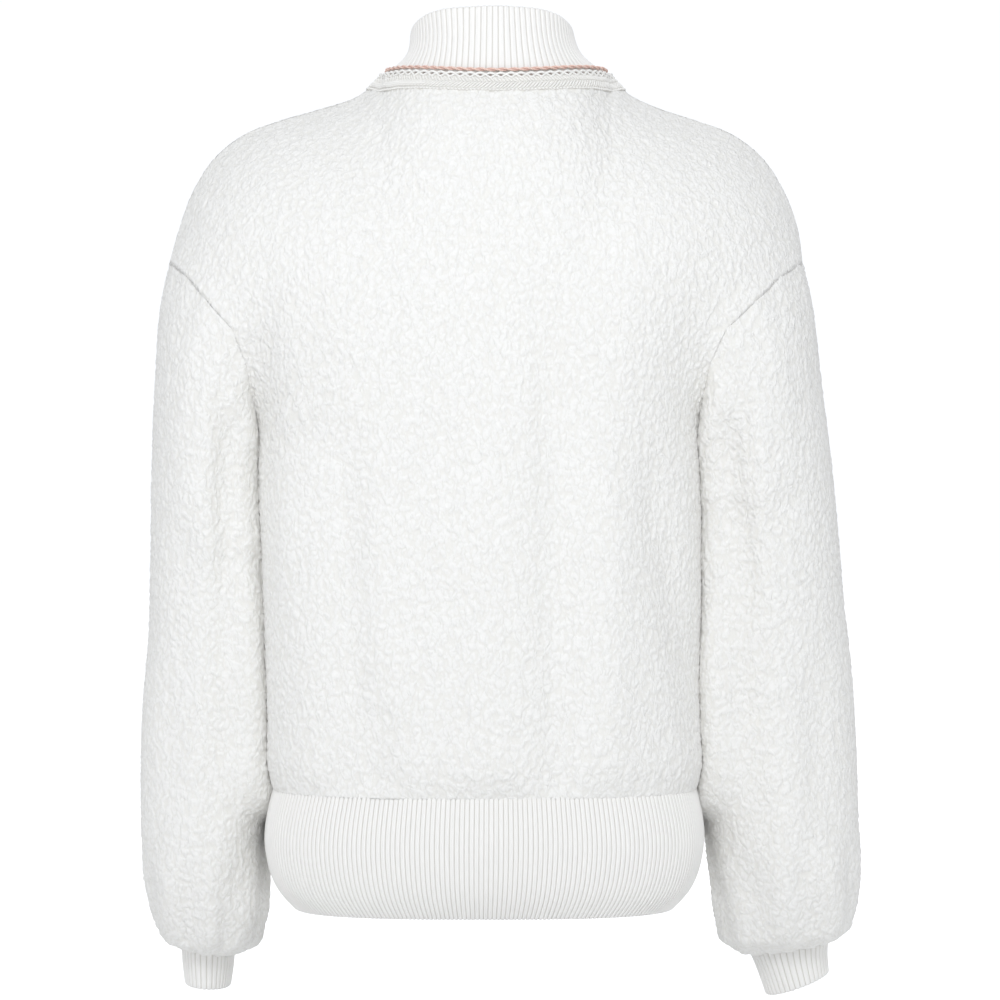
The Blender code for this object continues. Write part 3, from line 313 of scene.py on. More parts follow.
def borders(opposite):
    """The closed borders of a skin, each walked with the cloth on its left."""
    following = {a: b for a, b in opposite if (b, a) not in opposite}
    loops = []
    while following:
        start, place = next(iter(following.items()))
        loop = [start]
        del following[start]
        while place != start:
            loop.append(place)
            place = following.pop(place)
        loops.append(loop)
    return loops


def walk_row(opposite, row, first, closed):
    """The next row of points above a row, from its first point."""
    found = [first]
    ends = row[1:] + (row[:1] if closed else [])
    for near, far in zip(row, ends):
        corner = opposite.get((near, far))
        if corner == found[-1]:
            corner = opposite.get((corner, far))
        if corner is None:
            return None
        found.append(corner)
    if closed and found.pop() != first:
        return None
    return found


def near_row(points, row, first, last):
    """The next row of a skin where a flat place has been left without its point."""
    found = [first]
    for step in np.diff(row, axis=0)[:-1]:
        guess = found[-1] + step
        away = np.linalg.norm(points - guess, axis=1)
        best = int(np.argmin(away))
        found.append(points[best] if away[best] < 0.45 * np.linalg.norm(step) else guess)
    return np.array([*found, last])


def open_rows(points, opposite, rows, columns, name):
    """The rows of a skin with four sides, from its lower border up."""
    loop = borders(opposite)
    if len(loop) != 1 or len(loop[0]) != 2 * (rows + columns - 2):
        raise RuntimeError(f"{name}: its skin has no plain border")
    loop = loop[0]
    count = len(loop)
    steps = unit(np.diff(points[loop + loop[:1]], axis=0))
    turns = np.arccos(np.clip((steps * np.roll(steps, 1, axis=0)).sum(axis=1), -1, 1))

    def corner_turns(start):
        places = (0, columns - 1, columns + rows - 2, 2 * columns + rows - 3)
        return sum(turns[(start + place) % count] for place in places)

    def height(start):
        return np.mean([points[loop[(start + k) % count]][2] for k in range(columns)])

    best = max(corner_turns(start) for start in range(count))
    starts = [start for start in range(count) if corner_turns(start) > best - 1e-6]
    start = min(starts, key=height)
    other = (start + columns + rows - 2) % count
    if height(other) < height(start):
        start = other
    grid = [[loop[(start + k) % count] for k in range(columns)]]
    used = sorted({corner for edge in opposite for corner in edge})
    if len(used) == rows * columns:
        for row in range(1, rows):
            grid.append(walk_row(opposite, grid[-1], loop[(start - row) % count], False))
        return points[np.array(grid)]
    grid = [points[grid[0]]]
    for row in range(1, rows - 1):
        first, last = loop[(start - row) % count], loop[(start + columns - 1 + row) % count]
        grid.append(near_row(points[used], grid[-1], points[first], points[last]))
    top = [loop[(start - rows + 1 - k) % count] for k in range(columns)]
    return np.array([*grid, points[top]])


def closed_rows(points, opposite, rows, columns, near, name):
    """The rows of a tube's skin, from its lower border up, each from the point nearest to near."""
    loops = [loop for loop in borders(opposite) if len(loop) == columns]
    if len(loops) != 2:
        raise RuntimeError(f"{name}: its skin has no two plain borders")
    loop = min(loops, key=lambda ring: points[ring][:, 2].mean())
    turn = int(np.argmin(np.linalg.norm(points[loop] - near, axis=1)))
    grid = [loop[turn:] + loop[:turn]]
    touching = {}
    for a, b in opposite:
        touching.setdefault(a, set()).add(b)
    for _ in range(rows - 1):
        row = grid[-1]
        tries = []
        for first in touching[row[0]] - set(row):
            found = walk_row(opposite, row, first, True)
            if found and len(set(found)) == columns and not set(found) & set(row):
                reach = np.linalg.norm(points[found] - points[row], axis=1).sum()
                tries.append((reach, found))
        grid.append(min(tries)[1])
        touching = {a: b - set(row) for a, b in touching.items()}
    return grid


def skin_grid(points, triangles, rows, columns, closed, near, name):
    """A skin's points, by row from its lower border up, and by column as seen from outside."""
    opposite = {}
    for a, b, c in triangles:
        opposite[a, b] = c
        opposite[b, c] = a
        opposite[c, a] = b
    if closed:
        return points[np.array(closed_rows(points, opposite, rows, columns, near, name))]
    return open_rows(points, opposite, rows, columns, name)


def wall_grids(name):
    """The outer and the inner skin of a solid as rows and columns of points."""
    rows, columns, inner_columns = SKINS[name]
    closed = name in TUBES
    points, outer, inner = wall_skins(name)
    side = 1.0 if points[:, 0].mean() > 0 else -1.0
    near = np.array([points[:, 0].mean() - side, points[:, 1].mean(), points[:, 2].min()])
    inner = skin_grid(points, inner, rows, inner_columns, closed, near, name)
    outer = skin_grid(points, outer, rows, columns, closed, inner[0, 0], name)
    return outer, inner


# ---- Smooth curves and surfaces through the solids' points ----
def curve_slopes(points, closed):
    """Slopes into and out of each point of a set of curves, and the lengths between points."""
    ring = np.concatenate([points, points[:1]]) if closed else points
    steps = np.diff(ring, axis=0)
    lengths = np.maximum(np.linalg.norm(steps, axis=-1, keepdims=True), 1e-9)
    ways = steps / lengths
    if closed:
        before, before_length = np.roll(ways, 1, axis=0), np.roll(lengths, 1, axis=0)
        after, after_length = ways, lengths
    else:
        before, before_length = ways[:-1], lengths[:-1]
        after, after_length = ways[1:], lengths[1:]
    middle = before * after_length + after * before_length
    middle /= before_length + after_length
    bent = (before * after).sum(axis=-1, keepdims=True) < math.cos(KINK)
    into = np.where(bent, before, middle)
    out = np.where(bent, after, middle)
    if not closed:
        first = 1.5 * ways[:1] - 0.5 * into[:1]
        last = 1.5 * ways[-1:] - 0.5 * out[-1:]
        into = np.concatenate([first, into, last])
        out = np.concatenate([first, out, last])
    return into, out, lengths


def read_curves(points, at, closed=False):
    """Curves through points along axis 0, read at fractional point numbers."""
    flat = points.reshape(len(points), -1, points.shape[-1])
    into, out, lengths = curve_slopes(flat, closed)
    low = np.clip(np.floor(at).astype(int), 0, len(lengths) - 1)
    high = (low + 1) % len(flat)
    t = (np.asarray(at) - low)[:, None, None]
    length = lengths[low]
    start = flat[low] * (2 * t**3 - 3 * t**2 + 1) + out[low] * length * (t**3 - 2 * t**2 + t)
    end = flat[high] * (3 * t**2 - 2 * t**3) + into[high] * length * (t**3 - t**2)
    return (start + end).reshape(len(at), *points.shape[1:])


def read_grid(grid, rows_at, columns_at, closed=False):
    """A surface through a grid's points, read at fractional row and column numbers."""
    tall = read_curves(grid, rows_at)
    return read_curves(tall.transpose(1, 0, 2), columns_at, closed).transpose(1, 0, 2)


def even_stations(grid, step, multiple, closed=False):
    """Fractional numbers along axis 0 that are evenly spaced on the cloth."""
    ring = np.concatenate([grid, grid[:1]]) if closed else grid
    lengths = np.linalg.norm(np.diff(ring, axis=0), axis=-1)
    lengths = lengths.reshape(len(lengths), -1).mean(axis=1)
    reach = np.concatenate([[0.0], np.cumsum(lengths)])
    count = multiple * max(1, round(reach[-1] / step / multiple))
    stations = np.interp(np.linspace(0, reach[-1], count + 1), reach, np.arange(len(reach)))
    return stations[:-1] if closed else stations


def grid_normals(grid, closed=False):
    """Normals of a grid, outwards where its columns run to the right seen from outside."""
    if closed:
        across = np.roll(grid, -1, axis=1) - np.roll(grid, 1, axis=1)
    else:
        across = np.gradient(grid, axis=1)
    return unit(np.cross(across, np.gradient(grid, axis=0)))


def mean_step(grid, axis):
    return np.linalg.norm(np.diff(grid, axis=axis), axis=-1).mean()


# ---- Meshes ----
def skin_faces(first, rows, columns, closed, inside):
    """Four-cornered faces of a grid, with the row and column of each corner."""
    row, column = np.meshgrid(
        np.arange(rows - 1), np.arange(columns if closed else columns - 1), indexing="ij"
    )
    rows_at = np.stack([row, row, row + 1, row + 1], axis=-1).reshape(-1, 4)
    columns_at = np.stack([column, column + 1, column + 1, column], axis=-1).reshape(-1, 4)
    if inside:
        rows_at, columns_at = rows_at[:, ::-1], columns_at[:, ::-1]
    corners = first + rows_at * columns + columns_at % columns
    return corners, np.stack([columns_at, rows_at], axis=-1)


def shell_mesh(name, outer, inner, closed, across, along):
    """A closed shell of two skins. across and along are the UV map's steps a column and a row."""
    rows, columns = outer.shape[:2]
    inner_rows, inner_columns = inner.shape[:2]
    spans = inner_columns if closed else inner_columns - 1
    column_ratio = columns // spans
    row_ratio = (rows - 1) // (inner_rows - 1)
    first = rows * columns
    points = np.concatenate([outer.reshape(-1, 3), inner.reshape(-1, 3)])
    out_faces, out_places = skin_faces(0, rows, columns, closed, False)
    in_faces, in_places = skin_faces(first, inner_rows, inner_columns, closed, True)
    faces = out_faces.tolist() + in_faces.tolist()
    places = np.concatenate(
        [out_places.reshape(-1, 2), in_places.reshape(-1, 2) * (column_ratio, row_ratio)]
    )
    rims = []

    def out(row, column):
        return row * columns + column % columns

    def within(row, column):
        return first + row * inner_columns + column % inner_columns

    for span in range(spans):
        near, far = span * column_ratio, (span + 1) * column_ratio
        low = [out(0, column) for column in range(far, near - 1, -1)]
        rims.append(low + [within(0, span), within(0, span + 1)])
        high = [out(rows - 1, column) for column in range(near, far + 1)]
        rims.append(high + [within(inner_rows - 1, span + 1), within(inner_rows - 1, span)])
    if not closed:
        for row in range(inner_rows - 1):
            near, far = row * row_ratio, (row + 1) * row_ratio
            left = [out(step, 0) for step in range(near, far + 1)]
            rims.append(left + [within(row + 1, 0), within(row, 0)])
            right = [out(step, columns - 1) for step in range(far, near - 1, -1)]
            rims.append(
                right + [within(row, inner_columns - 1), within(row + 1, inner_columns - 1)]
            )
    mesh = bpy.data.meshes.new(name)
    mesh.from_pydata(points.tolist(), [], faces + rims)
    flat = np.array([corner for rim in rims for corner in rim])
    inside = flat >= first
    rim_rows = np.where(inside, (flat - first) // inner_columns * row_ratio, flat // columns)
    rim_columns = np.where(inside, (flat - first) % inner_columns * column_ratio, flat % columns)
    places = np.concatenate([places, np.stack([rim_columns, rim_rows], axis=-1)])
    layer = mesh.uv_layers.new(name="cloth")
    layer.data.foreach_set("uv", (places * (across, along)).astype(np.float32).ravel())
    mesh.shade_smooth()
    return mesh


def put(name, data):
    """A new object in the scene."""
    made = bpy.data.objects.new(name, data)
    bpy.context.scene.collection.objects.link(made)
    return made


def normals_out(mesh):
    """Turns every face of a mesh outwards."""
    shell = bmesh.new()
    shell.from_mesh(mesh)
    bmesh.ops.recalc_face_normals(shell, faces=shell.faces)
    shell.to_mesh(mesh)
    shell.free()


def add_piece(name, mesh, material, replaces=()):
    """Puts a finished mesh in the scene as a piece that rides on the garment."""
    piece = put(name, mesh)
    mesh.materials.append(material)
    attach(piece, "garment")
    if replaces:
        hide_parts(*replaces)
    return piece


def only(piece):
    """Makes one object the only selected and the active one."""
    bpy.ops.object.select_all(action="DESELECT")
    piece.select_set(True)
    bpy.context.view_layer.objects.active = piece


def new_yarns(name, routes, sides):
    """A mesh of round yarns. Each route is its points, radii and up directions."""
    angles = np.arange(sides) * 2 * math.pi / sides
    points, faces, places = [], [], []
    first = 0
    for line, radii, ups in routes:
        tangents = unit(np.gradient(line, axis=0))
        sideways = unit(np.cross(tangents, ups))
        upwards = np.cross(sideways, tangents)
        ring = sideways[:, None] * np.cos(angles)[:, None]
        ring = ring + upwards[:, None] * np.sin(angles)[:, None]
        rings = line[:, None] + ring * radii[:, None, None]
        points.append(np.concatenate([rings.reshape(-1, 3), line[:1], line[-1:]]))
        reach = reaches(line)
        tail = first + len(line) * sides
        for side in range(sides):
            beside = (side + 1) % sides
            u, v = side / sides, (side + 1) / sides
            for row, (near, far) in enumerate(zip(reach, reach[1:])):
                a, b = first + row * sides + side, first + row * sides + beside
                faces.append((a, b, b + sides, a + sides))
                places += [(u, near), (v, near), (v, far), (u, far)]
            last = tail - sides
            faces += [(tail, first + beside, first + side), (tail + 1, last + side, last + beside)]
            places += [(u, 0.0)] * 3 + [(u, reach[-1])] * 3
        first = tail + 2
    mesh = bpy.data.meshes.new(name)
    mesh.from_pydata(np.concatenate(points).tolist(), [], faces)
    layer = mesh.uv_layers.new(name="yarn")
    layer.data.foreach_set("uv", np.array(places, dtype=np.float32).ravel())
    normals_out(mesh)
    mesh.shade_smooth()
    return mesh


# ---- Materials ----
def new_node(tree, kind, values=(), **settings):
    """A new node with its settings, and with each input linked or set to a value."""
    made = tree.nodes.new(kind)
    for name, value in settings.items():
        setattr(made, name, value)
    for name, value in dict(values).items():
        if isinstance(value, bpy.types.NodeSocket):
            tree.links.new(value, made.inputs[name])
        else:
            made.inputs[name].default_value = value
    return made


def calc(tree, operation, *values, kind="ShaderNodeMath"):
    return new_node(tree, kind, dict(enumerate(values)), operation=operation).outputs[0]


def vector_calc(tree, operation, *values):
    return calc(tree, operation, *values, kind="ShaderNodeVectorMath")


def times(tree, value, factor):
    return calc(tree, "MULTIPLY", value, factor)


def plus(tree, value, more):
    return calc(tree, "ADD", value, more)


def scaled(tree, value, factor, more):
    """value * factor + more"""
    return calc(tree, "MULTIPLY_ADD", value, factor, more)


def from_middle(tree, value):
    """How far a value is from the middle of the whole step that it lies in, 0 to 0.5."""
    return calc(tree, "ABSOLUTE", calc(tree, "SUBTRACT", calc(tree, "FRACT", value), 0.5))


def ramp(tree, value, start, end, low=0.0, high=1.0):
    """A value eased from low to high between start and end."""
    values = dict(enumerate((value, start, end, low, high)))
    made = new_node(tree, "ShaderNodeMapRange", values, interpolation_type="SMOOTHSTEP")
    return made.outputs[0]


def noise(tree, place, scale, detail=2.0, roughness=0.5, output=0):
    values = {"Vector": place, "Scale": scale, "Detail": detail, "Roughness": roughness}
    return new_node(tree, "ShaderNodeTexNoise", values).outputs[output]


def mixed(tree, part, *colours):
    """A mix of two colours, each a socket or its red, green and blue."""
    low, high = (c if isinstance(c, bpy.types.NodeSocket) else (*c, 1.0) for c in colours)
    made = new_node(tree, "ShaderNodeMix", {0: part, 6: low, 7: high}, data_type="RGBA")
    return made.outputs[2]


def nub_height(tree, place, settings):
    """Height of the curly pile, from 0 in the gaps to 1 on the curls, at a place in metres."""
    wide, tall = 1 / settings.nub_across, 1 / settings.nub_along
    cells = vector_calc(tree, "MULTIPLY", place, (wide, wide, tall))
    wander = vector_calc(tree, "SUBTRACT", noise(tree, cells, 0.6, 0.0, output=1), (0.5, 0.5, 0.5))
    bent = vector_calc(tree, "ADD", cells, vector_calc(tree, "MULTIPLY", wander, WANDER))
    near = new_node(tree, "ShaderNodeTexVoronoi", {"Vector": bent, "Scale": 1.0})
    dome = ramp(tree, near.outputs["Distance"], 0.05, 0.88, 1.0, 0.0)
    return times(tree, dome, scaled(tree, noise(tree, bent, 1.6, 1.0), 0.7, 0.6))


def new_material(name, rough, specular, sheen=0.0):
    """A Principled material with nothing linked to it yet."""
    material = bpy.data.materials.new(name)
    material.use_nodes = True
    shader = material.node_tree.nodes["Principled BSDF"]
    shader.inputs["Roughness"].default_value = rough
    shader.inputs["Specular IOR Level"].default_value = specular
    shader.inputs["Sheen Weight"].default_value = sheen
    shader.inputs["Sheen Roughness"].default_value = 0.5
    return material, material.node_tree, shader


def cover(tree, shader, colour, height, distance, strength):
    """Links a material's colour, and its bump from a height."""
    tree.links.new(colour, shader.inputs["Base Color"])
    values = {"Height": height, "Distance": distance, "Strength": strength}
    tree.links.new(new_node(tree, "ShaderNodeBump", values).outputs[0], shader.inputs["Normal"])


def uv_parts(tree):
    """A point's place on the UV map, whole and as its two numbers."""
    place = new_node(tree, "ShaderNodeUVMap").outputs[0]
    parts = new_node(tree, "ShaderNodeSeparateXYZ", {0: place})
    return place, parts.outputs[0], parts.outputs[1]


def fleece_material():
    """Curly pile: white on top of the curls, with painted warm shade down between them and in fine
    curl streaks, and a soft fuzz in the bump.
    """
    settings = bpy.context.scene.jacket_fleece
    material, tree, shader = new_material("curly_fleece", 0.92, 0.2, 0.2)
    place = new_node(tree, "ShaderNodeAttribute", attribute_name="cloth_place").outputs["Vector"]
    height = nub_height(tree, place, settings)
    curls = noise(tree, vector_calc(tree, "MULTIPLY", place, (1.0, 1.0, 0.5)), 720.0, 1.0)
    tone = scaled(tree, noise(tree, place, 14.0, 3.0), 0.3, -0.15)
    # Painted shade: the colour runs from the gap colour in the low hollows to the top colour on the
    # curls, by the pile's height, with a random tone added.
    part = plus(tree, ramp(tree, height, 0.10, 0.48), tone)
    # Painted shade: the fine curl noise darkens thin streaks as shade in the small grooves; the
    # same noise also goes into the bump.
    part = plus(tree, part, scaled(tree, curls, 1.3, -0.65))
    fuzz = scaled(tree, noise(tree, place, 1700.0, 0.0), 0.15, times(tree, curls, 0.7))
    colour = mixed(tree, part, settings.gap, settings.top)
    cover(tree, shader, colour, plus(tree, height, fuzz), 0.0012, 0.55)
    return material


def rib_material():
    """Rib knit: white ribs of small slanted stitches, with painted shade in their thin grooves and
    between the stitch rows.
    """
    settings = bpy.context.scene.jacket_rib
    material, tree, shader = new_material("rib_knit", 0.88, 0.25, 0.2)
    place, ribs, along = uv_parts(tree)
    across = from_middle(tree, ribs)
    groove = ramp(tree, across, 0.37, 0.48)
    seam = ramp(tree, across, 0.0, 0.07, 0.45, 0.0)
    rows = scaled(tree, along, 1 / settings.stitch, times(tree, across, 1.5))
    stitch = from_middle(tree, rows)
    tone = noise(tree, place, 3.0, 3.0)
    # Painted shade: the colour darkens towards the groove colour in the grooves and between the
    # stitch rows, where the knit is lowest; the tone varies at random.
    shade = scaled(tree, tone, 0.16, scaled(tree, groove, 0.85, -0.06))
    colour = mixed(tree, scaled(tree, stitch, 0.16, shade), settings.ridge, settings.groove)
    height = scaled(tree, stitch, -0.5, times(tree, groove, -1.2))
    cover(tree, shader, colour, calc(tree, "SUBTRACT", height, seam), 0.0005, 0.6)
    return material


def yarn_material(name, colour, dark, turns, shade, rough=0.85):
    """Twisted yarn: slanted plies, with painted shade between them and on the side that shade
    names.
    """
    material, tree, shader = new_material(name, rough, 0.3, 0.2)
    place, around, along = uv_parts(tree)
    ply = from_middle(tree, scaled(tree, along, turns, times(tree, around, 2.0)))
    fibres = noise(tree, place, 40.0, 3.0, 0.6)
    # Painted shade: darker in the low line between the plies.
    part = scaled(tree, ramp(tree, ply, 0.0, 0.22), 0.5, times(tree, fibres, 0.7))
    # Painted shadow: the side of the yarn that faces what it lies on is darker, as contact shadow.
    turned = calc(tree, "SINE", times(tree, around, 2 * math.pi))
    part = times(tree, part, ramp(tree, turned, *shade, 0.25, 1.0))
    height = scaled(tree, fibres, 0.3, ramp(tree, ply, 0.0, 0.35))
    cover(tree, shader, mixed(tree, part, dark, colour), height, 0.0003, 0.6)
    return material


def tape_ground_material():
    """The ground of the neck tape, seen between its stitches, painted darker than the yarn as
    shade, and with painted shade in its eyelets.
    """
    settings = bpy.context.scene.jacket_trim
    material, tree, shader = new_material("neck_tape_ground", 0.9, 0.2, 0.1)
    place, eyelets, across = uv_parts(tree)
    side = times(tree, from_middle(tree, eyelets), 3.2)
    up = times(tree, calc(tree, "SUBTRACT", across, 0.84), 6.5)
    away = plus(tree, calc(tree, "POWER", side, 2.0), calc(tree, "POWER", up, 2.0))
    # Painted shade: a dark spot at each eyelet hole.
    eyelet_shade_mask = ramp(tree, calc(tree, "SQRT", away), 0.35, 0.75, 1.0, 0.0)
    # Painted shade: the ground between the stitches is darker than the yarn, varying at random.
    ground = mixed(tree, noise(tree, place, 30.0), GROUND_SHADE, settings.tape_gap_shade)
    colour = mixed(tree, eyelet_shade_mask, ground, EYELET_SHADE)
    cover(tree, shader, colour, noise(tree, place, 60.0), 0.0004, 0.5)
    return material


def woven_material():
    """The zip's woven tape: a fine twill."""
    settings = bpy.context.scene.jacket_zip
    material, tree, shader = new_material("woven_zip_tape", 0.8, 0.3, 0.1)
    place, across, along = uv_parts(tree)
    twill = from_middle(tree, plus(tree, times(tree, across, 1400.0), times(tree, along, 1400.0)))
    part = scaled(tree, twill, 0.9, times(tree, noise(tree, place, 500.0, 3.0), 0.35))
    dark = [0.72 * value for value in settings.tape]
    cover(tree, shader, mixed(tree, part, dark, settings.tape), part, 0.0003, 0.7)
    return material


def metal_material(name, grain):
    """Satin metal with a fine brushed grain and softly worn patches."""
    settings = bpy.context.scene.jacket_zip
    material, tree, shader = new_material(name, 0.3, 0.5)
    shader.inputs["Metallic"].default_value = 1.0
    place = new_node(tree, "ShaderNodeTexCoord").outputs["Object"]
    lines = noise(tree, vector_calc(tree, "MULTIPLY", place, grain), 1.0, 3.0)
    worn = noise(tree, place, 260.0, 3.0)
    dark = [0.78 * value for value in settings.metal]
    tree.links.new(ramp(tree, worn, 0.3, 0.7, 0.24, 0.42), shader.inputs["Roughness"])
    cover(tree, shader, mixed(tree, worn, dark, settings.metal), lines, 0.00008, 0.5)
    return material


def kept_material(name, make):
    """A material that several pieces share, made once."""
    return bpy.data.materials.get(name) or make()


# ---- Fleece ----
def nub_marks():
    """A node group that stores the pile's height at each point."""
    made = bpy.data.node_groups.get("nub_marks")
    if made:
        return made
    made = bpy.data.node_groups.new("nub_marks", "GeometryNodeTree")
    made.is_modifier = True
    for direction in ("INPUT", "OUTPUT"):
        made.interface.new_socket("Geometry", in_out=direction, socket_type="NodeSocketGeometry")
    place = new_node(made, "GeometryNodeInputPosition").outputs[0]
    values = {
        "Geometry": new_node(made, "NodeGroupInput").outputs[0],
        "Name": "nub",
        "Value": nub_height(made, place, bpy.context.scene.jacket_fleece),
    }
    kinds = {"data_type": "FLOAT", "domain": "POINT"}
    store = new_node(made, "GeometryNodeStoreNamedAttribute", values, **kinds)
    new_node(made, "NodeGroupOutput", {0: store.outputs[0]})
    return made


def line_distance(places, line):
    """Distance of (x, z) places from a line in mm, and how far along it they lie, 0 to 1."""
    line = np.array(line, dtype=float) / 1000
    reach = reaches(line)
    reach /= reach[-1]
    nearest = np.full(places.shape[:-1], 1e9)
    along = np.zeros(places.shape[:-1])
    for number, (start, end) in enumerate(zip(line, line[1:])):
        way = end - start
        part = ((places - start) @ way) / (way @ way)
        held = np.clip(part, 0, 1)
        away = np.linalg.norm(places - start - held[..., None] * way, axis=-1)
        closer = away < nearest
        nearest = np.where(closer, away, nearest)
        spot = reach[number] + held * (reach[number + 1] - reach[number])
        along = np.where(closer, spot, along)
    return nearest, along


def crease_depths(grid, normals, creases, facing):
    """How far the cloth sinks at each point of a grid for a list of creases."""
    sunk = np.zeros(grid.shape[:2])
    seen = smooth_step(normals[..., 1] * facing, 0.0, 0.45)
    for line, width, depth in creases:
        away, along = line_distance(grid[..., [0, 2]], line)
        fade = np.sin(np.clip(along, 0.0, 1.0) * math.pi) ** 0.5 * 0.6 + 0.4
        ends = smooth_step(along, -0.01, 0.12)
        sunk += depth / 1000 * np.exp(-((away / (width / 1000)) ** 2)) * fade * ends * seen
    return sunk


def border_distance(rows, columns, row_step, column_step, closed):
    """Distance of each point of a grid from the nearest edge of the cloth."""
    row = np.arange(rows)[:, None] * row_step
    away = np.minimum(row, row[::-1]) + np.zeros((1, columns))
    if not closed:
        column = np.arange(columns)[None] * column_step
        away = np.minimum(away, np.minimum(column, column[:, ::-1]))
    return away


def gather_depths(columns, above_cuff):
    """Uneven gathers that fade up the sleeve from its cuff."""
    round_place = np.arange(columns)[None] / columns
    sunk = np.zeros((len(above_cuff), columns))
    for place, depth, length in GATHERS:
        away = (round_place - place + 0.5) % 1.0 - 0.5
        fade = np.exp(-((above_cuff / (length / 1000)) ** 2))
        sunk += depth / 1000 * fade * (np.exp(-((away / GATHER_WIDTH) ** 2)) - 0.45)
    return sunk


def body_points():
    """Places all over the back and the fronts, to lean the sleeves on."""
    found = []
    for name in ("back", "front_left", "front_right"):
        outer = wall_grids(name)[0]
        rows_at = even_stations(outer, 0.004, 1)
        columns_at = even_stations(outer.transpose(1, 0, 2), 0.004, 1)
        found.append(read_grid(outer, rows_at, columns_at).reshape(-1, 3))
    found = np.concatenate(found)
    tree = KDTree(len(found))
    for number, point in enumerate(found):
        tree.insert(point, number)
    tree.balance()
    return tree


def reach_to_body(grid, normals, side):
    """How far a sleeve swells to rest against the body beside it."""
    tree = body_points()
    gaps = np.full(grid.shape[:2], 1.0)
    facing = smooth_step(normals[..., 0] * -side, 0.1, 0.6)
    for row, column in zip(*np.nonzero(facing > 0.02)):
        gaps[row, column] = tree.find(grid[row, column])[2]
    reach = np.clip(gaps + LEAN_DEPTH, 0.0, LEAN_MOST) * (1 - smooth_step(gaps, *LEAN_FADE))
    height = grid[..., 2]
    reach *= facing * smooth_step(height, *LEAN_LOW) * smooth_step(-height, *LEAN_HIGH)
    for _ in range(12):
        reach = smoothed(reach, 1)
        reach = (np.roll(reach, 1, axis=1) + 2 * reach + np.roll(reach, -1, axis=1)) / 4
    return reach


def creased_depths(name, grid, normals, above_hem, column_step):
    """How far a fleece piece's cloth sinks at each point: creases, gathers and lean."""
    if name in TUBES:
        creases = SLEEVE_CREASES[name]
        sunk = crease_depths(grid, normals, creases, 1) + crease_depths(grid, normals, creases, -1)
        below_top = above_hem[::-1]
        sunk *= smooth_step(above_hem, 0, EDGE_FADE) * smooth_step(below_top, 0, ARMHOLE_FADE)
        sunk += gather_depths(grid.shape[1], above_hem)
        return sunk - reach_to_body(grid, normals, 1 if name.endswith("left") else -1)
    sunk = crease_depths(grid, normals, CREASES[name], 1 if name == "back" else -1)
    column = np.arange(grid.shape[1])
    beside = np.minimum(column, column[::-1])[None] * column_step
    fade = smooth_step(beside, 0, EDGE_FADE) * smooth_step(above_hem, -EDGE_FADE, EDGE_FADE)
    return sunk * fade


def nub_values(piece):
    """The pile's height, 0 to 1, at each point of a piece."""
    only(piece)
    marks = piece.modifiers.new("nubs", "NODES")
    marks.node_group = nub_marks()
    bpy.ops.object.modifier_apply(modifier=marks.name)
    found = np.zeros(len(piece.data.vertices), dtype=np.float32)
    piece.data.attributes["nub"].data.foreach_get("value", found)
    return found


def fleece_piece(name):
    """One fleece panel or sleeve: creased cloth with its curly pile."""
    settings = bpy.context.scene.jacket_fleece
    closed = name in TUBES
    outer_grid, inner_grid = wall_grids(name)
    rows_at = even_stations(outer_grid, settings.step, FLEECE_RATIO)
    columns_at = even_stations(outer_grid.transpose(1, 0, 2), settings.step, FLEECE_RATIO, closed)
    some = slice(None, None, FLEECE_RATIO)
    outer = read_grid(outer_grid, rows_at, columns_at, closed)
    inner = read_grid(inner_grid, rows_at[some], columns_at[some], closed)
    normals = grid_normals(outer, closed)
    rows, columns = outer.shape[:2]
    row_step, column_step = mean_step(outer, 0), mean_step(outer, 1)
    above_hem = np.arange(rows)[:, None] * row_step
    sunk = normals * creased_depths(name, outer, normals, above_hem, column_step)[..., None]
    outer, inner = outer - sunk, inner - sunk[some, some]
    overhang = 1 - smooth_step(above_hem, 0.0, 0.012)
    down = unit(outer[0] - outer[3])[None]
    outer = outer + (down * OVERHANG[0] + normals * OVERHANG[1]) * overhang[..., None]
    edges = [(outer[-1], outer[-3])]
    if not closed:
        edges += [(outer[:, 0], outer[:, 2]), (outer[:, -1], outer[:, -3])]
    for edge, inward in edges:
        edge += unit(edge - inward) * SEAM_REACH
    mesh = shell_mesh(name + "_fleece", outer, inner, closed, column_step, row_step)
    material = kept_material("curly_fleece", fleece_material)
    piece = add_piece(name + "_fleece", mesh, material, (name,))
    nub = nub_values(piece)[: rows * columns].reshape(rows, columns)
    mesh = piece.data
    away = border_distance(rows, columns, row_step, column_step, closed)
    lift = settings.nub_height * (0.25 + 0.75 * smooth_step(away, 0.0, 0.003))
    turned = np.clip(1 - away / SEAM_ROLL[0], 0, 1)
    rolled = np.where(outer[..., 0] > 0, 0.0, SEAM_ROLL[1]) * (1 - np.sqrt(1 - turned**2))
    raised = outer + grid_normals(outer, closed) * ((nub - 0.4) * lift - rolled)[..., None]
    place = mesh.attributes.new("cloth_place", "FLOAT_VECTOR", "POINT")
    targets = ((mesh.vertices, "co", raised), (place.data, "vector", outer))
    for target, kind, skin in targets:
        points = np.concatenate([skin.reshape(-1, 3), inner.reshape(-1, 3)])
        target.foreach_set(kind, points.astype(np.float32).ravel())
    mesh.update()


# ---- Ribs ----
def rib_profile(columns):
    """Height of a rib across its columns: broad and rounded, with a narrow groove."""
    place = np.arange(columns) % RIB_STEPS / RIB_STEPS
    return np.sin(math.pi * place) ** 0.55


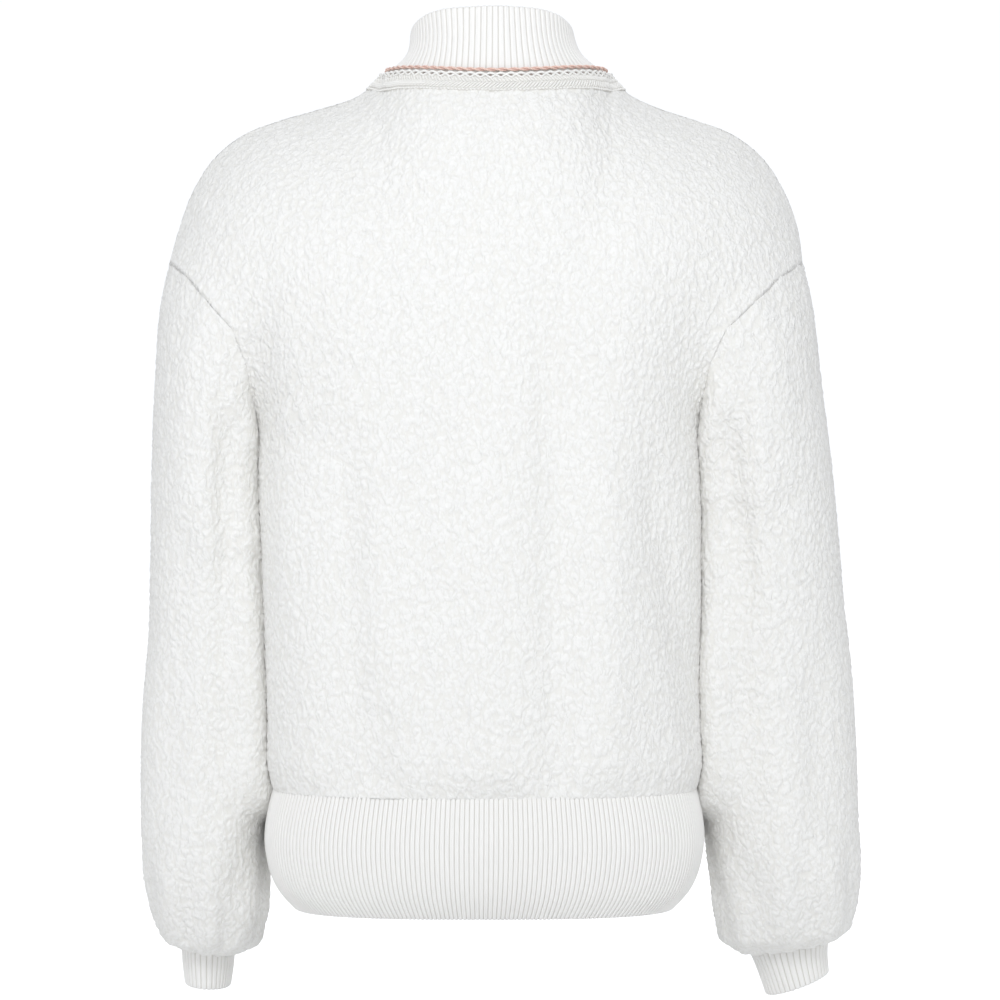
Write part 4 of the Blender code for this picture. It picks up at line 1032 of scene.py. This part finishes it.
def turned_edge(last, before, inner, rise):
    """Extra rows that carry the ribs round a folded edge of the knit."""
    way = unit(last - before)
    across = last - inner
    middle = (last + inner) / 2
    rows = []
    for angle in np.radians(FOLD_ANGLES):
        row = middle + across / 2 * math.cos(angle) + way * (FOLD_THICKNESS / 2) * math.sin(angle)
        out = unit(across) * math.cos(angle) + way * math.sin(angle)
        rows.append(row + out * rise[:, None] * max(0.0, math.cos(angle / 2)))
    return np.array(rows)


def rib_piece(name, free_edge):
    """A band of rib knit. free_edge is the end that isn't sewn: its folded top or bottom."""
    settings = bpy.context.scene.jacket_rib
    closed = name in TUBES
    outer_grid, inner_grid = wall_grids(name)
    grooves = outer_grid[:, ::2]
    ribs = grooves.shape[1] - (0 if closed else 1)
    columns = ribs * RIB_STEPS + (0 if closed else 1)
    rows_at = even_stations(grooves, settings.row_step, 1)
    columns_at = np.arange(columns) / RIB_STEPS
    base = read_grid(grooves, rows_at, columns_at, closed)
    under = read_grid(inner_grid, rows_at, columns_at / 2, closed)
    inner = read_grid(inner_grid, rows_at, columns_at[::RIB_STEPS] / 2, closed)
    rise = settings.relief * rib_profile(columns)
    outer = base + grid_normals(base, closed) * rise[None, :, None]
    end, before = (-1, -2) if free_edge == "top" else (0, 1)
    folded = turned_edge(base[end], base[before], under[end], rise)
    inside = inner[end] + (folded - under[end])[:, ::RIB_STEPS] * 0.02
    if free_edge == "top":
        outer, inner = np.concatenate([outer, folded]), np.concatenate([inner, inside])
    else:
        outer = np.concatenate([folded[::-1], outer])
        inner = np.concatenate([inside[::-1], inner])
    mesh = shell_mesh(name + "_knit", outer, inner, closed, 1 / RIB_STEPS, mean_step(base, 0))
    material = kept_material("rib_knit", rib_material)
    piece = add_piece(name + "_knit", mesh, material, (name,))


# ---- Neck trims ----
class Strip:
    """A dense patch of cloth that yarns are laid on by place along it, across it and over it."""

    def __init__(self, grid, step):
        rows_at = np.linspace(0, len(grid) - 1, 9)
        columns_at = even_stations(grid.transpose(1, 0, 2), step, 1)
        self.points = read_grid(grid, rows_at, columns_at)
        self.normals = grid_normals(self.points)
        self.length = np.linalg.norm(np.diff(self.points[4], axis=0), axis=1).sum()

    def read(self, table, along, across):
        """A table of the strip's points or normals, read at metres along and 0 to 1 across."""
        rows, columns = table.shape[:2]
        column = np.clip(np.asarray(along) / self.length, 0, 1) * (columns - 1)
        row = np.clip(across, 0, 1) * (rows - 1)
        column, row = np.broadcast_arrays(column, row)
        left = np.minimum(column.astype(int), columns - 2)
        low = np.minimum(row.astype(int), rows - 2)
        right_part, high_part = (column - left)[..., None], (row - low)[..., None]
        lower = blend(table[low, left], table[low, left + 1], right_part)
        upper = blend(table[low + 1, left], table[low + 1, left + 1], right_part)
        return blend(lower, upper, high_part)

    def route(self, along, across, lift):
        """A line over the strip, with the strip's own outward direction at each place."""
        ups = unit(self.read(self.normals, along, across))
        return self.read(self.points, along, across) + ups * lift[..., None], ups


def stitch_route(strip, start, end, radius, lift):
    """One slanted stitch: a short yarn that rises in the middle and tapers to its ends."""
    part = np.linspace(0, 1, 6)
    arch = np.sin(part * math.pi)
    along = start[0] + (end[0] - start[0]) * part
    across = start[1] + (end[1] - start[1]) * part
    line, ups = strip.route(along, across, lift * (0.35 + 0.65 * arch) - 0.0003)
    return line, radius * (0.45 + 0.55 * arch**0.7), ups


def tape_stitches(strip, settings):
    """The braided tape: two rows of slanted stitches under a row of scalloped eyelets."""
    random = np.random.default_rng(7)
    count = round(strip.length / settings.stitch_step)
    step = strip.length / count
    routes = []

    def add_line(along, across, lift, radii):
        line, ups = strip.route(along, across, lift)
        routes.append((line, radii, ups))

    for number in range(count):
        at = (number + 0.5) * step
        stir = random.normal(0, STIR, 4)
        for reach, bottom, top, thick, draws in STITCH_ROWS:
            a, b, c, d = stir[list(draws)]
            low = (at - reach + a, bottom + b * STIR_ACROSS)
            high = (at + reach + c, top + d * STIR_ACROSS)
            routes.append(stitch_route(strip, low, high, settings.yarn * thick, STITCH_LIFT))
    eyelets = round(strip.length / settings.eyelet_step)
    along = np.linspace(0, strip.length, eyelets * 12 + 1)
    wave = np.cos(along / strip.length * eyelets * 2 * math.pi)
    ends = np.linspace(0, strip.length, eyelets + 1)
    drift = np.interp(along, ends, random.normal(0, 0.008, eyelets + 1))
    bead = settings.yarn * (1.05 - 0.16 * wave)
    add_line(along, 0.93 - 0.030 * wave + drift, 0.0005 - 0.0002 * wave, bead)
    add_line(along, 0.785 + 0.060 * wave + drift, 0.0004 + 0.0002 * wave, bead * 0.85)
    fine = np.linspace(0, strip.length, count * 6 + 1)
    ripple = np.cos(fine / step * 2 * math.pi)
    hem = settings.yarn * (0.50 + 0.45 * ripple)
    add_line(fine, 0.050 - 0.030 * ripple, 0.0002 * ripple, hem)
    return routes


def cord_line(outer, inner):
    """The seam line that the cord lies on, and its outward directions."""
    grooves = outer[0, ::4]
    lift = unit(grooves - inner[0])
    stand = CORD_STAND[0] - CORD_STAND[1] * smooth_step(np.abs(grooves[:, :1]), 0.045, 0.075)
    return (grooves + inner[0]) / 2 + lift * stand, lift


# ---- Zip ----
def zip_rows(name):
    """Rows of a zip half's six corners from the bottom up, and which way it reaches."""
    mesh = NODES[name].data
    flat = np.empty(len(mesh.vertices) * 3)
    mesh.vertices.foreach_get("co", flat)
    points = np.unique(np.round(flat.reshape(-1, 3), 6), axis=0)
    points = points[np.argsort(points[:, 2])]
    cuts = np.where(np.diff(points[:, 2]) > 0.003)[0] + 1
    rows = []
    side = 1 if name.endswith("left") else -1
    for group in np.split(points, cuts):
        if len(group) != 6:
            raise RuntimeError(f"{name}: a row has {len(group)} points")
        order = group[np.argsort(group[:, 0] * side)]
        pairs = (order[:2], order[2:4], order[4:])
        rows.append(np.concatenate([pair[np.argsort(pair[:, 1])] for pair in pairs]))
    return np.array(rows), side


# ---- Operators ----
class JACKET_OT_fleece_panels(bpy.types.Operator):
    """Makes the back and the two fronts"""

    bl_idname = "jacket.fleece_panels"
    bl_label = "Fleece panels"

    def execute(self, context):
        fleece_piece("back")
        fleece_piece("front_left")
        fleece_piece("front_right")
        return {"FINISHED"}


class JACKET_OT_sleeves(bpy.types.Operator):
    """Makes the two fleece sleeves, gathered at their cuffs"""

    bl_idname = "jacket.sleeves"
    bl_label = "Sleeves"

    def execute(self, context):
        for side in ("left", "right"):
            fleece_piece("sleeve_" + side)
        return {"FINISHED"}


class JACKET_OT_ribs(bpy.types.Operator):
    """Makes the rib knit hem, collar and cuffs"""

    bl_idname = "jacket.ribs"
    bl_label = "Ribs"

    def execute(self, context):
        rib_piece("hem_rib", "bottom")
        rib_piece("collar_rib", "top")
        rib_piece("cuff_left", "bottom")
        rib_piece("cuff_right", "bottom")
        return {"FINISHED"}


class JACKET_OT_neck_tape(bpy.types.Operator):
    """Makes the braided tape along the neckline"""

    bl_idname = "jacket.neck_tape"
    bl_label = "Neck tape"

    def execute(self, context):
        settings = context.scene.jacket_trim
        outer, inner = wall_grids("neck_tape")
        sunk = grid_normals(outer) * np.array(TAPE_SUNK)[:, None, None]
        outer, inner = outer - sunk, inner - sunk
        strip = Strip(outer, 0.0012)
        columns_at = even_stations(outer.transpose(1, 0, 2), 0.0018, 1)
        rows_at = np.linspace(0, 2, 9)
        ground = read_grid(outer, rows_at, columns_at)
        under = read_grid(inner, rows_at, columns_at)
        pressed = 0.0001 + 0.0002 * (1 - smooth_step(rows_at / 2, 0.0, 0.25))[:, None, None]
        ground -= grid_normals(ground) * pressed
        eyelets = round(strip.length / settings.eyelet_step)
        across = eyelets / (len(columns_at) - 1)
        mesh = shell_mesh("neck_tape_ground", ground, under, False, across, 1 / 8)
        piece = add_piece("neck_tape_ground", mesh, tape_ground_material(), ("neck_tape",))
        yarns = new_yarns("neck_tape_stitches", tape_stitches(strip, settings), 6)
        # Painted shade: the tape gap colour darkens the yarn between its plies and on its side
        # towards the tape.
        white = yarn_material("tape_yarn", settings.tape, settings.tape_gap_shade, 420.0, (-0.8, 0.3))
        stitches = add_piece("neck_tape_stitches", yarns, white)
        return {"FINISHED"}


class JACKET_OT_neck_cord(bpy.types.Operator):
    """Makes the twisted cord between the tape and the collar"""

    bl_idname = "jacket.neck_cord"
    bl_label = "Neck cord"

    def execute(self, context):
        settings = context.scene.jacket_trim
        outer, inner = wall_grids("collar_rib")
        line, lift = cord_line(outer, inner)
        at = even_stations(line, 0.00095, 1)
        line, lift = read_curves(line, at), unit(read_curves(lift, at))
        line = smoothed(line, 6)
        tangents = unit(np.gradient(line, axis=0))
        sideways = unit(np.cross(tangents, lift))
        reach = reaches(line)
        turn = reach / settings.twist * 2 * math.pi
        # A real cord's turns aren't quite even.
        turn += 0.5 * np.sin(reach / 0.031) + 0.3 * np.sin(reach / 0.0127 + 1.0)
        radii = np.full(len(line), settings.strand)
        routes = []
        for phase in (0.0, math.pi):
            ring = lift * np.cos(turn + phase)[:, None] + sideways * np.sin(turn + phase)[:, None]
            routes.append((line + ring * settings.strand * 0.95, radii, ring))
        mesh = new_yarns("neck_cord_strands", routes, 8)
        # Painted shade: the darker cord colour goes between the plies and on each strand's side
        # towards the cord's middle.
        dark = [value * part for value, part in zip(settings.cord, (0.74, 0.62, 0.62))]
        rose = yarn_material("rose_cord", settings.cord, dark, 330.0, (-0.45, 0.45), 0.75)
        add_piece("neck_cord_strands", mesh, rose, ("neck_cord",))
        return {"FINISHED"}


class JACKET_OT_zip(bpy.types.Operator):
    """Makes the zip's woven tapes and teeth, and finishes its metal parts"""

    bl_idname = "jacket.zip"
    bl_label = "Zip"

    def tooth(self):
        """One tooth, reaching along +X from the middle of the zip, its front towards -Y."""
        bpy.ops.object.select_all(action="DESELECT")
        bpy.ops.mesh.primitive_cube_add(size=1.0, location=(0, 0, 0))
        tooth = bpy.context.active_object
        tooth.scale = TOOTH_SIZE
        bpy.ops.object.transform_apply(location=True, rotation=True, scale=True)
        bpy.ops.object.mode_set(mode="EDIT")
        bpy.ops.mesh.select_all(action="SELECT")
        bpy.ops.mesh.bevel(offset=0.00035, segments=1)
        bpy.ops.object.mode_set(mode="OBJECT")
        points = np.array([point.co[:] for point in tooth.data.vertices])
        faces = [list(face.vertices) for face in tooth.data.polygons]
        bpy.data.objects.remove(tooth)
        points[:, 0] += TOOTH_SIZE[0] / 2
        points[:, 2] *= 1.15 - 0.35 * smooth_step(points[:, 0], 0.0008, 0.0026)  # to a thin tip
        return points, faces

    def tape(self, name, rows, side):
        """The woven tape of one half, with a corded edge beside the teeth."""
        part, bead = np.array(ZIP_PROFILE).T[..., None]
        rows = read_curves(rows, even_stations(rows, 0.006, 1))
        front_edge, back_edge, far_front, far_back = rows[:, 0], rows[:, 1], rows[:, 4], rows[:, 5]
        out = unit(front_edge - back_edge)
        near_front = back_edge + out * ZIP_TAPE
        face = blend(near_front[:, None], far_front[:, None], part) + out[:, None] * bead
        rear = blend(back_edge[:, None], far_back[:, None], part)
        if side < 0:
            face, rear = face[:, ::-1], rear[:, ::-1]
        mesh = shell_mesh(name + "_tape", face, rear, False, 0.0018, mean_step(rows, 0))
        woven = kept_material("woven_zip_tape", woven_material)
        piece = add_piece(name + "_tape", mesh, woven, (name,))

    def teeth(self, name, rows, side, step):
        """The row of metal teeth on one half's edge."""
        points, faces = self.tooth()
        edge = read_curves(rows[:, :2], even_stations(rows[:, :2], 0.0005, 1))
        middle = edge.mean(axis=1)
        out = unit(edge[:, 0] - edge[:, 1])
        reach = reaches(middle)
        count = int((reach[-1] - TEETH_SHORT) / step)
        places = TEETH_START + np.arange(count) * step + (0.0 if side > 0 else step / 2)
        across = np.array([float(side), 0.0, 0.0])
        all_points, all_faces = [], []
        for number, place in enumerate(places):
            at = np.array([np.interp(place, reach, middle[:, k]) for k in range(3)])
            front = unit(np.array([np.interp(place, reach, out[:, k]) for k in range(3)]))
            up = unit(np.cross(across, front) * side)
            seat = at + front * TOOTH_SEAT[0] - across * TOOTH_SEAT[1]
            local = points[:, :1] * across - points[:, 1:2] * front + points[:, 2:] * up
            all_points.append(seat + local)
            first = number * len(points)
            all_faces += [[first + corner for corner in face] for face in faces]
        mesh = bpy.data.meshes.new(name + "_teeth")
        mesh.from_pydata(np.concatenate(all_points).tolist(), [], all_faces)
        normals_out(mesh)
        metal = kept_material("satin_teeth", lambda: metal_material("satin_teeth", (900, 200, 900)))
        add_piece(name + "_teeth", mesh, metal)

    def execute(self, context):
        step = context.scene.jacket_zip.tooth_step
        for name in ("zip_half_left", "zip_half_right"):
            rows, side = zip_rows(name)
            self.tape(name, rows, side)
            self.teeth(name, rows, side, step)
        brushed = metal_material("satin_zip_metal", (2600, 2600, 240))
        for name in ("zip_box", "zip_slider", "zip_pull"):
            NODES[name].data.materials.clear()
            NODES[name].data.materials.append(brushed)
        return {"FINISHED"}


class JACKET_OT_stage(bpy.types.Operator):
    """Makes the floor, the soft light and the camera"""

    bl_idname = "jacket.stage"
    bl_label = "Stage"

    def lamp(self, name, place, size, power):
        """A round lamp that points at the middle of the jacket."""
        data = bpy.data.lights.new(name, "AREA")
        data.shape = "DISK"
        data.size = size
        data.energy = power
        data.color = COOL
        lamp = put(name, data)
        lamp.location = place
        x, y, z = np.array(MIDDLE) - np.array(place)
        lamp.rotation_euler = (math.atan2(math.hypot(x, y), -z), 0.0, math.atan2(-x, y))

    def camera_rays(self, tree, seen, unseen):
        """A strength for rays from the camera, and another for all other rays."""
        ray = new_node(tree, "ShaderNodeLightPath").outputs["Is Camera Ray"]
        return scaled(tree, ray, seen - unseen, unseen)

    def floor(self, height):
        bpy.ops.object.select_all(action="DESELECT")
        bpy.ops.mesh.primitive_circle_add(
            vertices=96, radius=14.0, fill_type="NGON", location=(0, 0, height)
        )
        floor = bpy.context.active_object
        floor.name = "floor"
        bpy.ops.object.transform_apply(location=True, rotation=True, scale=True)
        material, tree, shader = new_material("pale_floor", 0.9, 0.1)
        shader.inputs["Base Color"].default_value = (0.95, 0.95, 0.95, 1.0)
        shader.inputs["Emission Color"].default_value = (1.0, 1.0, 1.0, 1.0)
        glow = self.camera_rays(tree, 0.5, 0.0)
        tree.links.new(glow, shader.inputs["Emission Strength"])
        floor.data.materials.append(material)

    def surround(self, strength):
        """Soft light from all round, shown to the camera as near white."""
        world = bpy.data.worlds.new("soft_surround")
        world.use_nodes = True
        light = world.node_tree.nodes["Background"]
        light.inputs["Color"].default_value = (*COOL, 1.0)
        given = self.camera_rays(world.node_tree, 1.06, strength)
        world.node_tree.links.new(given, light.inputs["Strength"])
        bpy.context.scene.world = world

    def execute(self, context):
        settings = context.scene.jacket_stage
        scene = context.scene
        scene.view_settings.view_transform = "Standard"
        scene.view_settings.look = "None"
        self.floor(min(CAD_BOX[0][2], CAD_BOX[1][2]) - settings.floor_drop)
        self.surround(settings.surround)
        self.lamp("key", (0.15, 2.05, 0.85), 1.0, settings.key)
        self.lamp("front_key", (-0.15, -2.05, 0.85), 1.0, settings.key)
        self.lamp("top", (0.0, 0.5, 1.9), 1.6, settings.top)
        camera = put("camera", bpy.data.cameras.new("camera"))
        camera.location = (-0.003, settings.distance, -0.3225)
        camera.rotation_euler = (math.pi / 2, 0.0, math.pi)
        camera.data.lens = settings.lens
        camera.data.sensor_width = 36.0
        scene.camera = camera
        return {"FINISHED"}


class JACKET_PT_panel(bpy.types.Panel):
    """Lists the jacket's pieces"""

    bl_label = "Fleece jacket"
    bl_idname = "JACKET_PT_panel"
    bl_space_type = "VIEW_3D"
    bl_region_type = "UI"
    bl_category = "Jacket"

    def draw(self, context):
        for name in SETTINGS:
            group = getattr(context.scene, name)
            column = self.layout.column(align=True)
            for setting in group.bl_rna.properties.keys()[2:]:
                column.prop(group, setting)
        for operator in OPERATORS:
            self.layout.operator(operator.bl_idname)


OPERATORS = (
    JACKET_OT_stage,
    JACKET_OT_fleece_panels,
    JACKET_OT_sleeves,
    JACKET_OT_ribs,
    JACKET_OT_neck_tape,
    JACKET_OT_neck_cord,
    JACKET_OT_zip,
)


def register():
    for group in (*SETTINGS.values(), *OPERATORS, JACKET_PT_panel):
        bpy.utils.register_class(group)
    for name, group in SETTINGS.items():
        setattr(bpy.types.Scene, name, PointerProperty(type=group))


def unregister():
    for name in SETTINGS:
        delattr(bpy.types.Scene, name)
    for group in reversed((*SETTINGS.values(), *OPERATORS, JACKET_PT_panel)):
        bpy.utils.unregister_class(group)


def main():
    register()
    bpy.ops.jacket.stage()
    bpy.ops.jacket.fleece_panels()
    bpy.ops.jacket.sleeves()
    bpy.ops.jacket.ribs()
    bpy.ops.jacket.neck_tape()
    bpy.ops.jacket.neck_cord()
    bpy.ops.jacket.zip()


if __name__ == "__main__":
    main()
